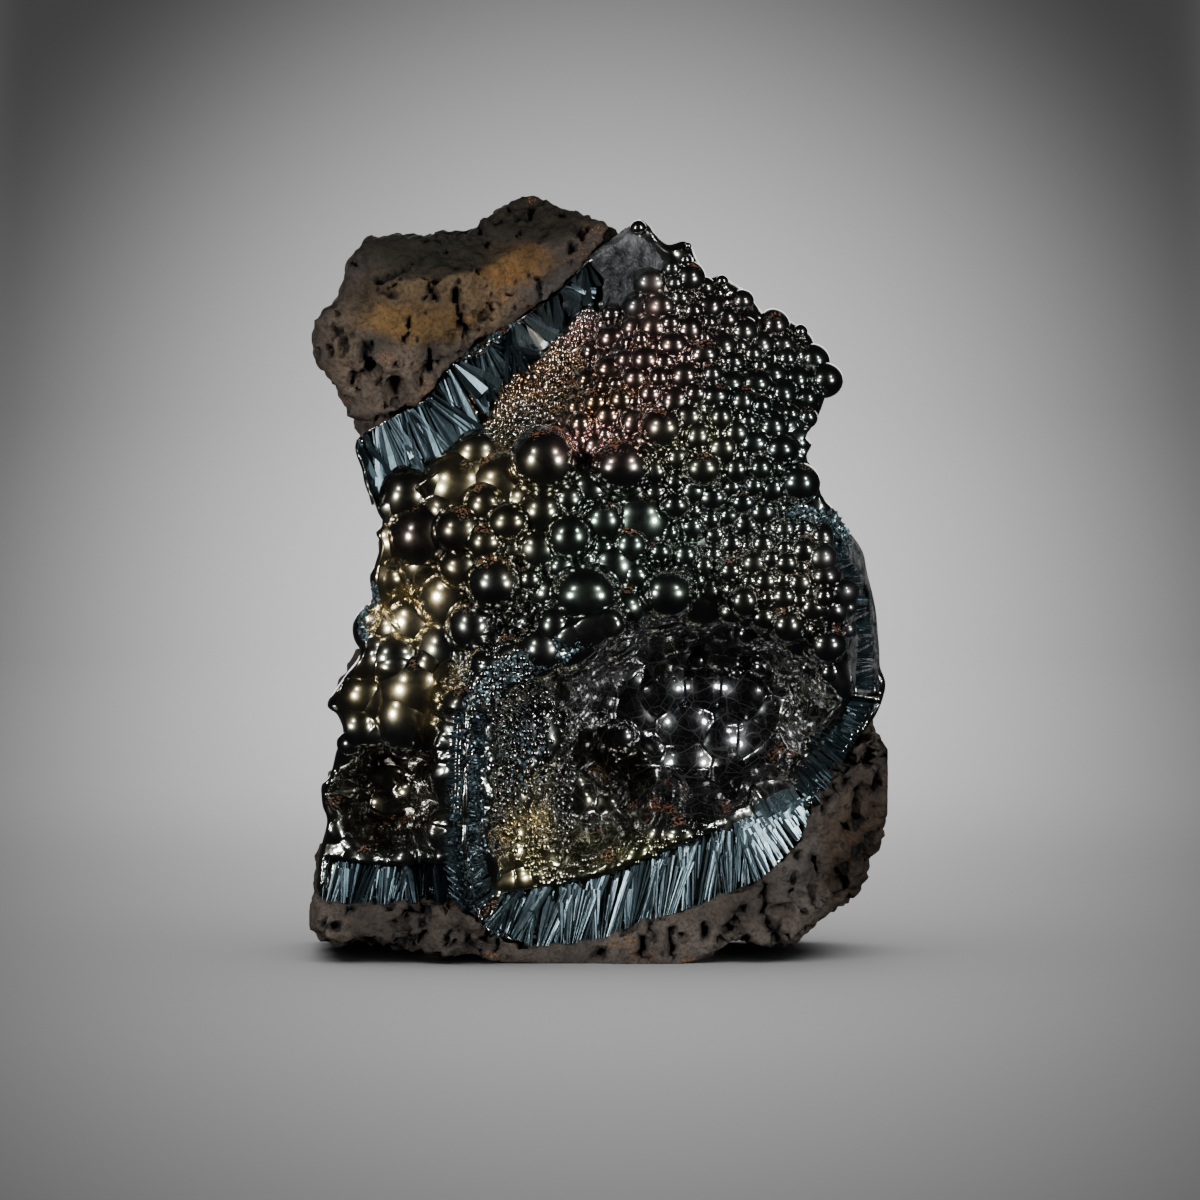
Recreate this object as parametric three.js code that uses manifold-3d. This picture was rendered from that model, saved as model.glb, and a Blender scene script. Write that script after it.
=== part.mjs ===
// Botryoidal goethite: one broken piece of a hollow nodule, standing on its foot.
// A porous limonite matrix carries a thick goethite crust. The crust's free surface is a skin of bubbles
// around two basins, and its broken edge shows the radiating needles that it is made of.
// Millimetres, +X right, +Y away from the viewer, +Z up.

import * as THREE from 'three';
import { mergeVertices, toCreasedNormals } from 'three/addons/utils/BufferGeometryUtils.js';
import { ImprovedNoise } from 'three/addons/math/ImprovedNoise.js';
import Module from 'manifold-3d';

// Driving dimensions
const HEIGHT = 120;
const BACK_DEPTH = 25; // mid plane to the back of the nodule
const RIM_BACK_DEPTH = 9; // mid plane to where the back meets the silhouette
const FOOT_BACK_DEPTH = 17; // the same at the foot, which is thicker
const FRONT_DEPTH = 11.5; // mid plane to the mean front face
const SIDE = { bulge: 2, taper: 2.5, footSpread: 1.8 }; // the sides round out, draw in and spread below
const CRUST_THICKNESS = 8.5;
const JOINT_GAP = 0.35; // hairline between crust and matrix
const BED_GAP_RATIO = 2; // the hairline is wider by this behind the crust, where its bed is steep
const RIM_CLEARANCE = 4; // how far the crust's bed runs out past its free rim
const FREE_RIM_WITHIN = [1.1, 2.2]; // the rim is free this near to the silhouette, and bedded further in

// Places are read off the front view in its own pixels, x right and y down, and turned into millimetres.
const VIEW = { centreX: 600, top: 195, foot: 954 };
const MM = HEIGHT / (VIEW.foot - VIEW.top);
const fromView = ([px, py]) => new THREE.Vector2((px - VIEW.centreX) * MM, (VIEW.foot - py) * MM);

// Silhouette of the whole specimen, anticlockwise from the middle of the right side
const SPECIMEN_OUTLINE = [
  [875, 645], [871, 601], [862, 567], [857, 545], [842, 523], [831, 506], [816, 488], [812, 470],
  [802, 452], [804, 432], [812, 416], [823, 385], [815, 353], [803, 330], [786, 320], [768, 319],
  [754, 304], [727, 280], [705, 276], [694, 258], [681, 240], [664, 243], [650, 226], [635, 220],
  [613, 227], [576, 214], [533, 199], [517, 195], [498, 206], [481, 221], [464, 233], [448, 228],
  [421, 237], [359, 241], [347, 265], [340, 296], [318, 314], [312, 331], [316, 353], [334, 382],
  [346, 409], [359, 445], [367, 486], [382, 514], [376, 528], [380, 541], [372, 570], [372, 594],
  [359, 611], [360, 647], [346, 668], [327, 698], [343, 725], [336, 745], [330, 768], [321, 782],
  [327, 814], [319, 850], [315, 900], [320, 928], [333, 936], [357, 924], [385, 930], [419, 940],
  [462, 945], [490, 945], [507, 956], [526, 959], [540, 949], [574, 956], [614, 954], [650, 956],
  [685, 957], [703, 946], [722, 931], [755, 933], [779, 937], [801, 919], [821, 900], [850, 882],
  [862, 862], [864, 843], [875, 834], [876, 803], [888, 792], [879, 768], [880, 745], [865, 728],
  [870, 710], [880, 680],
];
const SPECIMEN_CENTRE = [600, 600];

// Edge of the crust. It is free on the silhouette, and set in matrix along the foot and the upper left.
const CRUST_OUTLINE = [
  [876, 645], [870, 601], [862, 567], [857, 545], [842, 523], [816, 488], [802, 452], [812, 416],
  [823, 385], [815, 353], [800, 329], [768, 319], [742, 292], [716, 277], [696, 264], [680, 244],
  [653, 233], [632, 228], [606, 240], [588, 254], [570, 276], [548, 298], [515, 318], [480, 338],
  [450, 364], [428, 393], [396, 412], [356, 436], [367, 486], [382, 514], [376, 540], [372, 590],
  [359, 618], [358, 650], [335, 688], [342, 725], [331, 765], [321, 782], [326, 812], [319, 850],
  [320, 886], [360, 893], [410, 892], [447, 886], [474, 904], [490, 924], [530, 934], [590, 930],
  [640, 910], [700, 892], [758, 868], [788, 838], [808, 800], [828, 765], [850, 735], [868, 712],
  [878, 682],
];
const CRUST_CENTRE = [610, 620];

// Relief of the front face: each feature raises (+) or sinks (-) an ellipse about `at`. `flat` is the share
// of its radius that is level before the flank starts, and `turn` is in degrees.
const RELIEF = [
  { name: 'main basin', at: [694, 712], radius: [158, 116], turn: 0, flat: 0.5, rise: -19 },
  { name: 'basin lobe by the septum', at: [588, 796], radius: [84, 72], turn: 30, flat: 0.35, rise: -15 },
  { name: 'left basin', at: [386, 788], radius: [66, 64], turn: 0, flat: 0.4, rise: -11 },
  { name: 'hollow on the left', at: [402, 606], radius: [52, 60], turn: 0, flat: 0.3, rise: -3 },
  { name: 'shelf of large bubbles', at: [560, 545], radius: [180, 100], turn: -10, flat: 0.3, rise: 4 },
  { name: 'swell of small bubbles', at: [715, 430], radius: [150, 120], turn: -30, flat: 0.2, rise: 4 },
  { name: 'trough below the shoulder', at: [566, 345], radius: [150, 62], turn: 48, flat: 0.2, rise: -7 },
  { name: 'cluster over the right rim', at: [790, 572], radius: [86, 58], turn: 0, flat: 0.4, rise: 4 },
  { name: 'shoulder of matrix', at: [405, 318], radius: [120, 80], turn: 25, flat: 0.5, rise: 4 },
  { name: 'fall to the top right', at: [850, 280], radius: [220, 190], turn: 0, flat: 0.1, rise: -12 },
  { name: 'fall to the top', at: [470, 170], radius: [260, 100], turn: 0, flat: 0.1, rise: -10 },
  { name: 'fall to the lower right', at: [905, 880], radius: [130, 170], turn: 0, flat: 0.1, rise: -9 },
  { name: 'fall to the left side', at: [290, 720], radius: [80, 260], turn: 0, flat: 0.1, rise: -5 },
];
const LEAN = 0.055; // the face leans back by this much per millimetre of height

// The septum between the basins, along its crest; it is lower where it runs out at the foot
const SEPTUM = {
  crest: [[470, 905], [461, 830], [463, 760], [466, 700], [492, 664], [548, 640], [600, 622]],
  halfWidth: 47,
  rise: 9.5,
  riseAtFoot: 3,
  fullFrom: 24,
};

// Large bubbles of the skin: place and radius in view pixels
const BUBBLES = [
  [543, 462, 36], [497, 573, 31], [474, 625, 31], [567, 530, 27], [586, 592, 34], [662, 584, 30],
  [621, 462, 34], [508, 517, 23], [486, 536, 20], [529, 571, 15], [416, 684, 29], [360, 689, 30],
  [396, 650, 15], [660, 423, 23], [699, 462, 23], [716, 414, 20], [792, 477, 24], [755, 405, 18],
  [707, 373, 22], [657, 375, 22], [747, 355, 17], [781, 360, 16], [801, 416, 15], [736, 301, 18],
  [688, 310, 16], [704, 322, 14], [671, 282, 14], [796, 333, 13], [579, 421, 17], [561, 370, 12],
  [610, 314, 14], [699, 560, 18], [655, 546, 18], [707, 512, 16], [729, 565, 20], [783, 610, 21],
  [745, 589, 21], [781, 556, 19], [818, 588, 15], [822, 638, 24], [621, 731, 20], [744, 622, 17],
  [768, 668, 26], [700, 632, 26], [742, 655, 20], [755, 462, 18], [604, 430, 12], [632, 480, 15],
  [682, 244, 9], [636, 228, 10], [716, 280, 10], [420, 530, 34], [452, 478, 26], [640, 338, 13],
  [816, 762, 22], [672, 498, 20],
];
const BUBBLE = { standsOut: 0.62, fineFrom: 26 }; // share of the radius out of the skin; size of finer ones

// Fields of small bubbles: middle, radii, bubble radius and spacing in view pixels
const BUBBLE_FIELDS = [
  { name: 'upper right', at: [735, 385], radius: [70, 70], size: 13, spacing: 27 },
  { name: 'top', at: [665, 300], radius: [40, 50], size: 11, spacing: 25 },
  { name: 'right cluster', at: [768, 575], radius: [66, 44], size: 12, spacing: 29 },
  { name: 'middle', at: [590, 500], radius: [80, 60], size: 12, spacing: 34 },
];

// Needle bundles of the broken edge: each run follows the crust's edge, and its wedges point into the crust
const NEEDLE_RUNS = [
  { name: 'foot', from: [490, 920], via: [560, 934], to: [652, 904], inward: [4, -54], count: 8 },
  { name: 'rising foot', from: [668, 900], via: [715, 888], to: [768, 862], inward: [-15, -52], count: 6 },
  { name: 'lower right', from: [774, 856], via: [796, 826], to: [808, 800], inward: [-44, -34], count: 3 },
  { name: 'left basin', from: [332, 888], via: [390, 893], to: [446, 886], inward: [4, -38], count: 6 },
  { name: 'upper left', from: [566, 284], via: [500, 326], to: [446, 368], inward: [38, 46], count: 6 },
  { name: 'left shoulder', from: [430, 394], via: [400, 412], to: [368, 436], inward: [22, 62], count: 4 },
];
const NEEDLE = { radius: 2.6, pointDepth: 0.4, endDepth: 1.1, fan: 0.2 }; // fan in radians either way

// Vugs in the matrix: place and radii in view pixels, all opening forwards
const VUGS = [
  [396, 388, 12, 22], [372, 372, 8, 15], [352, 378, 7, 10], [418, 378, 8, 17], [430, 348, 16, 10],
  [452, 336, 10, 9], [484, 312, 15, 8], [498, 298, 8, 9], [392, 286, 13, 8], [346, 400, 7, 8],
  [396, 914, 13, 8], [457, 922, 11, 8], [486, 934, 12, 6], [352, 914, 9, 5], [727, 919, 14, 10],
  [778, 902, 15, 9], [814, 858, 9, 20], [838, 820, 8, 11], [848, 786, 6, 17], [866, 756, 7, 16],
  [872, 812, 6, 9], [838, 880, 12, 9], [680, 928, 12, 6], [800, 890, 10, 7],
];
const VUG_DEPTH = 3.2;

// Grid cells across the face of each relief block, and through the side of the matrix
const GRID = { skin: 28, bed: 16, matrix: 18, matrixSide: 3 };
const CREASE = THREE.MathUtils.degToRad(40); // edges sharper than this stay sharp

const wasm = await Module();
wasm.setup();

const noise = new ImprovedNoise();
const grain = ({ x, y, z }, size) => noise.noise(x / size + 7.3, y / size + 1.9, z / size + 4.1);
const smooth = THREE.MathUtils.smoothstep;
const lerp = THREE.MathUtils.lerp;

/** A closed outline as a curve around its centre, sampled by its share of the way round. */
function outlineCurve(points) {
  const corners = points.map((p) => new THREE.Vector3(fromView(p).x, 0, fromView(p).y));
  const curve = new THREE.CatmullRomCurve3(corners, true, 'centripetal');
  curve.arcLengthDivisions = 10 * points.length;
  return curve;
}

const specimenEdge = outlineCurve(SPECIMEN_OUTLINE);
const crustEdge = outlineCurve(CRUST_OUTLINE);
const specimenEdgePoints = specimenEdge.getSpacedPoints(400);

/** Share of the way round the unit square for a point on its edge, anticlockwise from the middle of +X. */
function wayRoundSquare(a, b) {
  if (a >= Math.abs(b)) return ((b / a) / 8 + 1) % 1;
  if (b >= Math.abs(a)) return (1 - a / b) / 8 + 1 / 8;
  if (-a >= Math.abs(b)) return (1 + b / a) / 8 + 3 / 8;
  return (1 - a / b) / 8 + 5 / 8;
}

function distanceToSegment(p, a, b) {
  const along = b.clone().sub(a);
  const share = THREE.MathUtils.clamp(p.clone().sub(a).dot(along) / along.lengthSq(), 0, 1);
  return p.distanceTo(a.clone().addScaledVector(along, share));
}

/** How far the front face would stand forward of the mid plane at (x, z) without the septum. */
function basinHeight(x, z) {
  const here = new THREE.Vector2(x, z);
  let height = FRONT_DEPTH - (z - HEIGHT / 2) * LEAN;
  for (const feature of RELIEF) {
    const offset = here.clone().sub(fromView(feature.at));
    offset.rotateAround(new THREE.Vector2(), -THREE.MathUtils.degToRad(feature.turn));
    const reach = Math.hypot(offset.x / (feature.radius[0] * MM), offset.y / (feature.radius[1] * MM));
    height += feature.rise * (1 - smooth(reach, feature.flat, 1));
  }
  return height;
}

function septumHeight(x, z) {
  const here = new THREE.Vector2(x, z);
  const crest = SEPTUM.crest.map(fromView);
  const reach = Math.min(...crest.slice(1).map((end, i) => distanceToSegment(here, crest[i], end)));
  const rise = lerp(SEPTUM.riseAtFoot, SEPTUM.rise, smooth(z, 0, SEPTUM.fullFrom));
  return rise * (1 - smooth(reach / (SEPTUM.halfWidth * MM), 0.15, 1));
}

const frontY = (x, z) => -basinHeight(x, z) - septumHeight(x, z);
const rough = (x, y, z) => 1.3 * grain({ x, y, z }, 13) + 0.7 * grain({ x, y, z }, 5);
const matrixFrontY = (x, z) => frontY(x, z) + rough(x, 0, z);
const rimBackY = (z) => lerp(FOOT_BACK_DEPTH, RIM_BACK_DEPTH, smooth(z, 3, 38));

/** How far out in the square a vertex of the box lies: 0 in the middle and 1 on its edge. */
const shareOut = (position, i) => Math.max(Math.abs(position.getX(i)), Math.abs(position.getZ(i)));

/** Splits the square's corner cells along the way out, so that none folds where an outline is hollow. */
function splitCellsOutwards({ index, attributes: { position } }) {
  for (let i = 0; i < index.count; i += 6) {
    const [a, b, d, c] = [0, 1, 2, 4].map((k) => index.getX(i + k));
    const along = (u, v) => Math.abs(shareOut(position, u) - shareOut(position, v));
    if (along(a, c) > along(b, d)) [a, b, c, a, c, d].forEach((v, k) => index.setX(i + k, v));
  }
}

/**
 * Turns a box into a relief block: its +-Y faces become the front and back, and its sides follow the
 * outline, standing out from it by `outset` millimetres.
 */
function reliefBlock({ edge, centre, cells, sideCells, front, back, outset }) {
  const geometry = new THREE.BoxGeometry(2, 2, 2, cells, sideCells, cells);
  splitCellsOutwards(geometry);
  const position = geometry.attributes.position;
  const middle = fromView(centre);
  for (let i = 0; i < position.count; i += 1) {
    const through = (position.getY(i) + 1) / 2;
    const share = shareOut(position, i);
    const rim = edge.getPointAt(share > 0 ? wayRoundSquare(position.getX(i), position.getZ(i)) : 0);
    const x = lerp(middle.x, rim.x, share);
    const z = lerp(middle.y, rim.z, share);
    const y = lerp(front(x, z, share), back(x, z, share), through);
    const outwards = new THREE.Vector3(rim.x - middle.x, 0, rim.z - middle.y).normalize();
    if (share > 0.999) outwards.multiplyScalar(outset(rim, through));
    else outwards.set(0, 0, 0);
    position.setXYZ(i, x + outwards.x, y, z + outwards.z);
  }
  return geometry;
}

/** A closed three.js geometry as a solid that can be joined and cut. */
function solidOf(geometry) {
  geometry.deleteAttribute('normal');
  geometry.deleteAttribute('uv');
  const merged = mergeVertices(geometry, 1e-4);
  const mesh = new wasm.Mesh({
    numProp: 3,
    vertProperties: new Float32Array(merged.attributes.position.array),
    triVerts: new Uint32Array(merged.index.array),
  });
  return new wasm.Manifold(mesh);
}

function geometryOf(solid) {
  const mesh = solid.getMesh();
  const geometry = new THREE.BufferGeometry();
  geometry.setAttribute('position', new THREE.BufferAttribute(new Float32Array(mesh.vertProperties), 3));
  geometry.setIndex(new THREE.BufferAttribute(new Uint32Array(mesh.triVerts), 1));
  return mergeVertices(toCreasedNormals(geometry, CREASE));
}

/** 1 where the crust's rim lies free on the silhouette, 0 where it is set in matrix. */
function rimIsFree(rim) {
  const near = Math.min(...specimenEdgePoints.map((p) => p.distanceTo(rim)));
  return 1 - smooth(near, ...FREE_RIM_WITHIN);
}

/** The space of the crust, grown by `grow`: within its outline, in front of its back, past a free rim. */
function crustColumn(grow) {
  return solidOf(reliefBlock({
    edge: crustEdge,
    centre: CRUST_CENTRE,
    cells: GRID.bed,
    sideCells: 1,
    front: () => -2.5 * BACK_DEPTH,
    back: (x, z) => -basinHeight(x, z) + CRUST_THICKNESS + grow * BED_GAP_RATIO,
    outset: (rim) => grow + RIM_CLEARANCE * rimIsFree(rim),
  }));
}

/** Everything behind the crust's free surface, which stops at a free rim and runs on past a bedded one. */
function crustSkin() {
  return solidOf(reliefBlock({
    edge: crustEdge,
    centre: CRUST_CENTRE,
    cells: GRID.skin,
    sideCells: 1,
    front: frontY,
    back: () => 2 * BACK_DEPTH,
    outset: (rim) => 1 - rimIsFree(rim),
  }));
}

/** A faceted ball sunk part of the way into the skin at a place of the front view. */
function bubbleSolid([px, py, pixels], turn) {
  const { x, y: z } = fromView([px, py]);
  const radius = pixels * MM;
  const ball = new THREE.IcosahedronGeometry(radius, pixels >= BUBBLE.fineFrom ? 1 : 0);
  ball.rotateX(turn * 1.3).rotateZ(turn * 0.7);
  ball.translate(x, frontY(x, z) + radius * (1 - BUBBLE.standsOut), z);
  return solidOf(ball);
}

/** Small bubbles packed in rings about each field's middle, left out where a large one stands. */
function smallBubbles() {
  const places = [];
  for (const { at, radius, size, spacing } of BUBBLE_FIELDS) {
    const rings = Math.floor(Math.min(...radius) / spacing);
    for (let ring = 0; ring <= rings; ring += 1) {
      const share = ring / rings;
      const count = Math.max(1, Math.round((Math.PI * (radius[0] + radius[1]) * share) / spacing));
      for (let i = 0; i < count; i += 1) {
        const angle = (2 * Math.PI * (i + 0.5 * (ring % 2))) / count;
        const px = at[0] + radius[0] * share * Math.cos(angle);
        const py = at[1] + radius[1] * share * Math.sin(angle);
        const isClear = ([bx, by, r]) => Math.hypot(px - bx, py - by) > r + 0.4 * size;
        const ownSize = size * (1 + 0.25 * Math.sin(3.7 * places.length));
        if ([...BUBBLES, ...places].every(isClear)) places.push([px, py, ownSize]);
      }
    }
  }
  return places;
}

/** Three-sided wedges along the broken edge, each pointed at the matrix and widest at the skin. */
function needleSolids() {
  const needles = [];
  for (const run of NEEDLE_RUNS) {
    const path = new THREE.QuadraticBezierCurve(...[run.from, run.via, run.to].map(fromView));
    for (let i = 0; i < run.count; i += 1) {
      const root = path.getPoint((i + 0.5) / run.count);
      const length = Math.hypot(...run.inward) * MM * (0.82 + 0.18 * Math.sin(i * 2.4));
      const inward = new THREE.Vector2(run.inward[0], -run.inward[1]).normalize();
      inward.rotateAround(new THREE.Vector2(), NEEDLE.fan * Math.sin(i * 4.1));
      const tip = root.clone().addScaledVector(inward, length);
      const under = (p, depth) => new THREE.Vector3(p.x, frontY(p.x, p.y) + depth, p.y);
      const from = under(root, NEEDLE.pointDepth);
      const to = under(tip, NEEDLE.endDepth);
      const wedge = new THREE.ConeGeometry(NEEDLE.radius, from.distanceTo(to), 3);
      wedge.rotateY(i * 0.9);
      const turn = new THREE.Quaternion();
      turn.setFromUnitVectors(new THREE.Vector3(0, 1, 0), from.clone().sub(to).normalize());
      wedge.applyQuaternion(turn);
      const middle = from.add(to).multiplyScalar(0.5);
      wedge.translate(middle.x, middle.y, middle.z);
      needles.push(solidOf(wedge));
    }
  }
  return needles;
}

/** Ragged pockets that open through the matrix's front. */
function vugSolids() {
  return VUGS.map(([px, py, acrossPixels, upPixels], i) => {
    const { x, y: z } = fromView([px, py]);
    const pocket = new THREE.IcosahedronGeometry(1, 0);
    pocket.rotateY(i * 0.8);
    pocket.scale(acrossPixels * MM, VUG_DEPTH, upPixels * MM);
    pocket.translate(x, matrixFrontY(x, z), z);
    return solidOf(pocket);
  });
}

function makeCrust() {
  let crust = crustSkin();
  const bubbles = [...BUBBLES, ...smallBubbles()].map(bubbleSolid);
  for (const lump of [...bubbles, ...needleSolids()]) crust = crust.add(lump);
  return crust.intersect(crustColumn(0));
}

function makeMatrix() {
  let matrix = solidOf(reliefBlock({
    edge: specimenEdge,
    centre: SPECIMEN_CENTRE,
    cells: GRID.matrix,
    sideCells: GRID.matrixSide,
    front: matrixFrontY,
    back: (x, z, share) => lerp(BACK_DEPTH, rimBackY(z), share ** 3) + 1.6 * rough(x, 40, z),
    outset: (rim, through) => SIDE.bulge * Math.sin(through * Math.PI) * (0.4 + grain(rim, 9))
      + through * lerp(SIDE.footSpread, -SIDE.taper, smooth(rim.z, 4, 25)),
  }));
  for (const cutter of [crustColumn(JOINT_GAP), ...vugSolids()]) matrix = matrix.subtract(cutter);
  const below = new THREE.BoxGeometry(3 * HEIGHT, 3 * HEIGHT, HEIGHT);
  below.translate(0, 0, -HEIGHT / 2);
  return matrix.subtract(solidOf(below));
}

const materials = {
  matrix: new THREE.MeshStandardMaterial({ color: 0x4a3f36, roughness: 0.9, metalness: 0 }),
  crust: new THREE.MeshStandardMaterial({ color: 0x23241f, roughness: 0.25, metalness: 0.85 }),
};

const specimen = new THREE.Group();

const matrix = new THREE.Mesh(geometryOf(makeMatrix()), materials.matrix);
matrix.name = 'limonite_matrix';

const crust = new THREE.Mesh(geometryOf(makeCrust()), materials.crust);
crust.name = 'goethite_crust';

specimen.add(matrix, crust);

// The origin is under the middle of the specimen, on the surface that it stands on
const extent = new THREE.Box3().setFromObject(specimen);
const centre = extent.getCenter(new THREE.Vector3());
specimen.position.set(-centre.x, -centre.y, -extent.min.z);

export default specimen;
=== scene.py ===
"""Looks of a botryoidal goethite specimen: bubbly metallic crust, silky needles and porous matrix."""

import logging
import math
from dataclasses import dataclass
from enum import Enum

import bpy
import numpy as np
from mathutils import Matrix, Vector


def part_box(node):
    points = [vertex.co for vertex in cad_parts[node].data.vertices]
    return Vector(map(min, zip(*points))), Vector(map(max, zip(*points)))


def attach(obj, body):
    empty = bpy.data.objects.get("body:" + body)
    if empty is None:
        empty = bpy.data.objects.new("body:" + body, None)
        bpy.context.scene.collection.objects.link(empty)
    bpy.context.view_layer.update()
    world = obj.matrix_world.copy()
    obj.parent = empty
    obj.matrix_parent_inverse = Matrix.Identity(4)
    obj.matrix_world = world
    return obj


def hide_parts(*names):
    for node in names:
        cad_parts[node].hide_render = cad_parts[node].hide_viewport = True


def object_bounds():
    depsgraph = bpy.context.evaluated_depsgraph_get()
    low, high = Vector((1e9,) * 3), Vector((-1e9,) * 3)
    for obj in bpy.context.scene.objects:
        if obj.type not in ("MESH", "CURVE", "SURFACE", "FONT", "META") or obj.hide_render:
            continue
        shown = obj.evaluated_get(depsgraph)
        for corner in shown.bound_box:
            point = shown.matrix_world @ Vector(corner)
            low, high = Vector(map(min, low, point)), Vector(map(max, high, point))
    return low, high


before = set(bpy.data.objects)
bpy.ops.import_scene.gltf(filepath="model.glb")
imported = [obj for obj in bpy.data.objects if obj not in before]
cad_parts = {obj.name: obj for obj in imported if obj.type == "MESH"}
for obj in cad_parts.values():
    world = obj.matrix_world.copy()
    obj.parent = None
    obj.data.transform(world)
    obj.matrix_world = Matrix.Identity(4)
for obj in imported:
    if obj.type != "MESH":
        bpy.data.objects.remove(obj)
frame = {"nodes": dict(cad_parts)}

CAD_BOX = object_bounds()
LOG = logging.getLogger("goethite")

MM = 0.001
Pixel = tuple[float, float]
Spot = tuple[float, float, float]  # column, row and radius, in view pixels
Colour = tuple[float, float, float]


@dataclass(frozen=True)
class FrontView:
    """The front view's own pixels, x right and y down, and where they lie on the specimen."""

    centre_x: float = 600.0
    top: float = 195.0
    foot: float = 954.0
    height: float = 120.0
    shift_x: float = 0.756
    shift_y: float = -1.424

    @property
    def scale(self) -> float:
        """Millimetres that one pixel covers."""
        return self.height / (self.foot - self.top)

    def x(self, px: np.ndarray) -> np.ndarray:
        """Millimetres to the right for a pixel column."""
        return (px - self.centre_x) * self.scale + self.shift_x

    def z(self, py: np.ndarray) -> np.ndarray:
        """Millimetres up for a pixel row."""
        return (self.foot - py) * self.scale

    def pixels(self, x: np.ndarray, z: np.ndarray) -> tuple[np.ndarray, np.ndarray]:
        """Pixel column and row of a place in millimetres."""
        return (x - self.shift_x) / self.scale + self.centre_x, self.foot - z / self.scale


VIEW = FrontView()


class Layer(Enum):
    """What a spot on the specimen is made of: the solid that it stands for and its material slot."""

    CRUST = ("goethite_crust", "crust")
    MATRIX = ("limonite_matrix", "matrix")

    @property
    def node(self) -> str:
        """The solid that a piece of this layer stands for."""
        return self.value[0]

    @property
    def slot(self) -> str:
        """The record's material slot of this layer."""
        return self.value[1]


def smoothstep(value: np.ndarray, low: float, high: float) -> np.ndarray:
    """Smooth step.

    Args:
        value: what is stepped.
        low: where the step is 0.
        high: where the step is 1.

    Returns:
        Values from 0 to 1.
    """
    share = np.clip((value - low) / (high - low), 0.0, 1.0)
    return share * share * (3.0 - 2.0 * share)


NOISE_PRIMES = (374761393, 668265263, 2147483647)
NOISE_MIXER = 1274126177
NOISE_BITS = 0xFFFF
SEED_STEP = 17.31


def lattice_noise(points: np.ndarray, wavelength: float, seed: int) -> np.ndarray:
    """Smooth value noise.

    Args:
        points: N x 3 places.
        wavelength: distance over which the noise changes, in the same unit.
        seed: picks one of many patterns.

    Returns:
        One value from -1 to 1 for each place.
    """
    scaled = points / wavelength + SEED_STEP * seed
    cell = np.floor(scaled).astype(np.int64)
    part = scaled - cell
    part = part * part * (3.0 - 2.0 * part)
    total = np.zeros(len(points))
    for corner in range(8):
        offset = np.array([corner & 1, corner >> 1 & 1, corner >> 2 & 1])
        spot = cell + offset
        mixed = sum(spot[:, axis] * prime for axis, prime in enumerate(NOISE_PRIMES)) + seed * NOISE_MIXER
        mixed = (mixed ^ (mixed >> 13)) * NOISE_MIXER
        mixed = (mixed ^ (mixed >> 16)) & NOISE_BITS
        weight = np.prod(np.where(offset == 1, part, 1.0 - part), axis=1)
        total += weight * (mixed / (NOISE_BITS / 2) - 1.0)
    return total


@dataclass(frozen=True)
class Swell:
    """One elliptical rise or hollow of the front face, in view pixels and millimetres."""

    at: Pixel
    radius: Pixel
    turn: float
    flat: float
    rise: float


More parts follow.
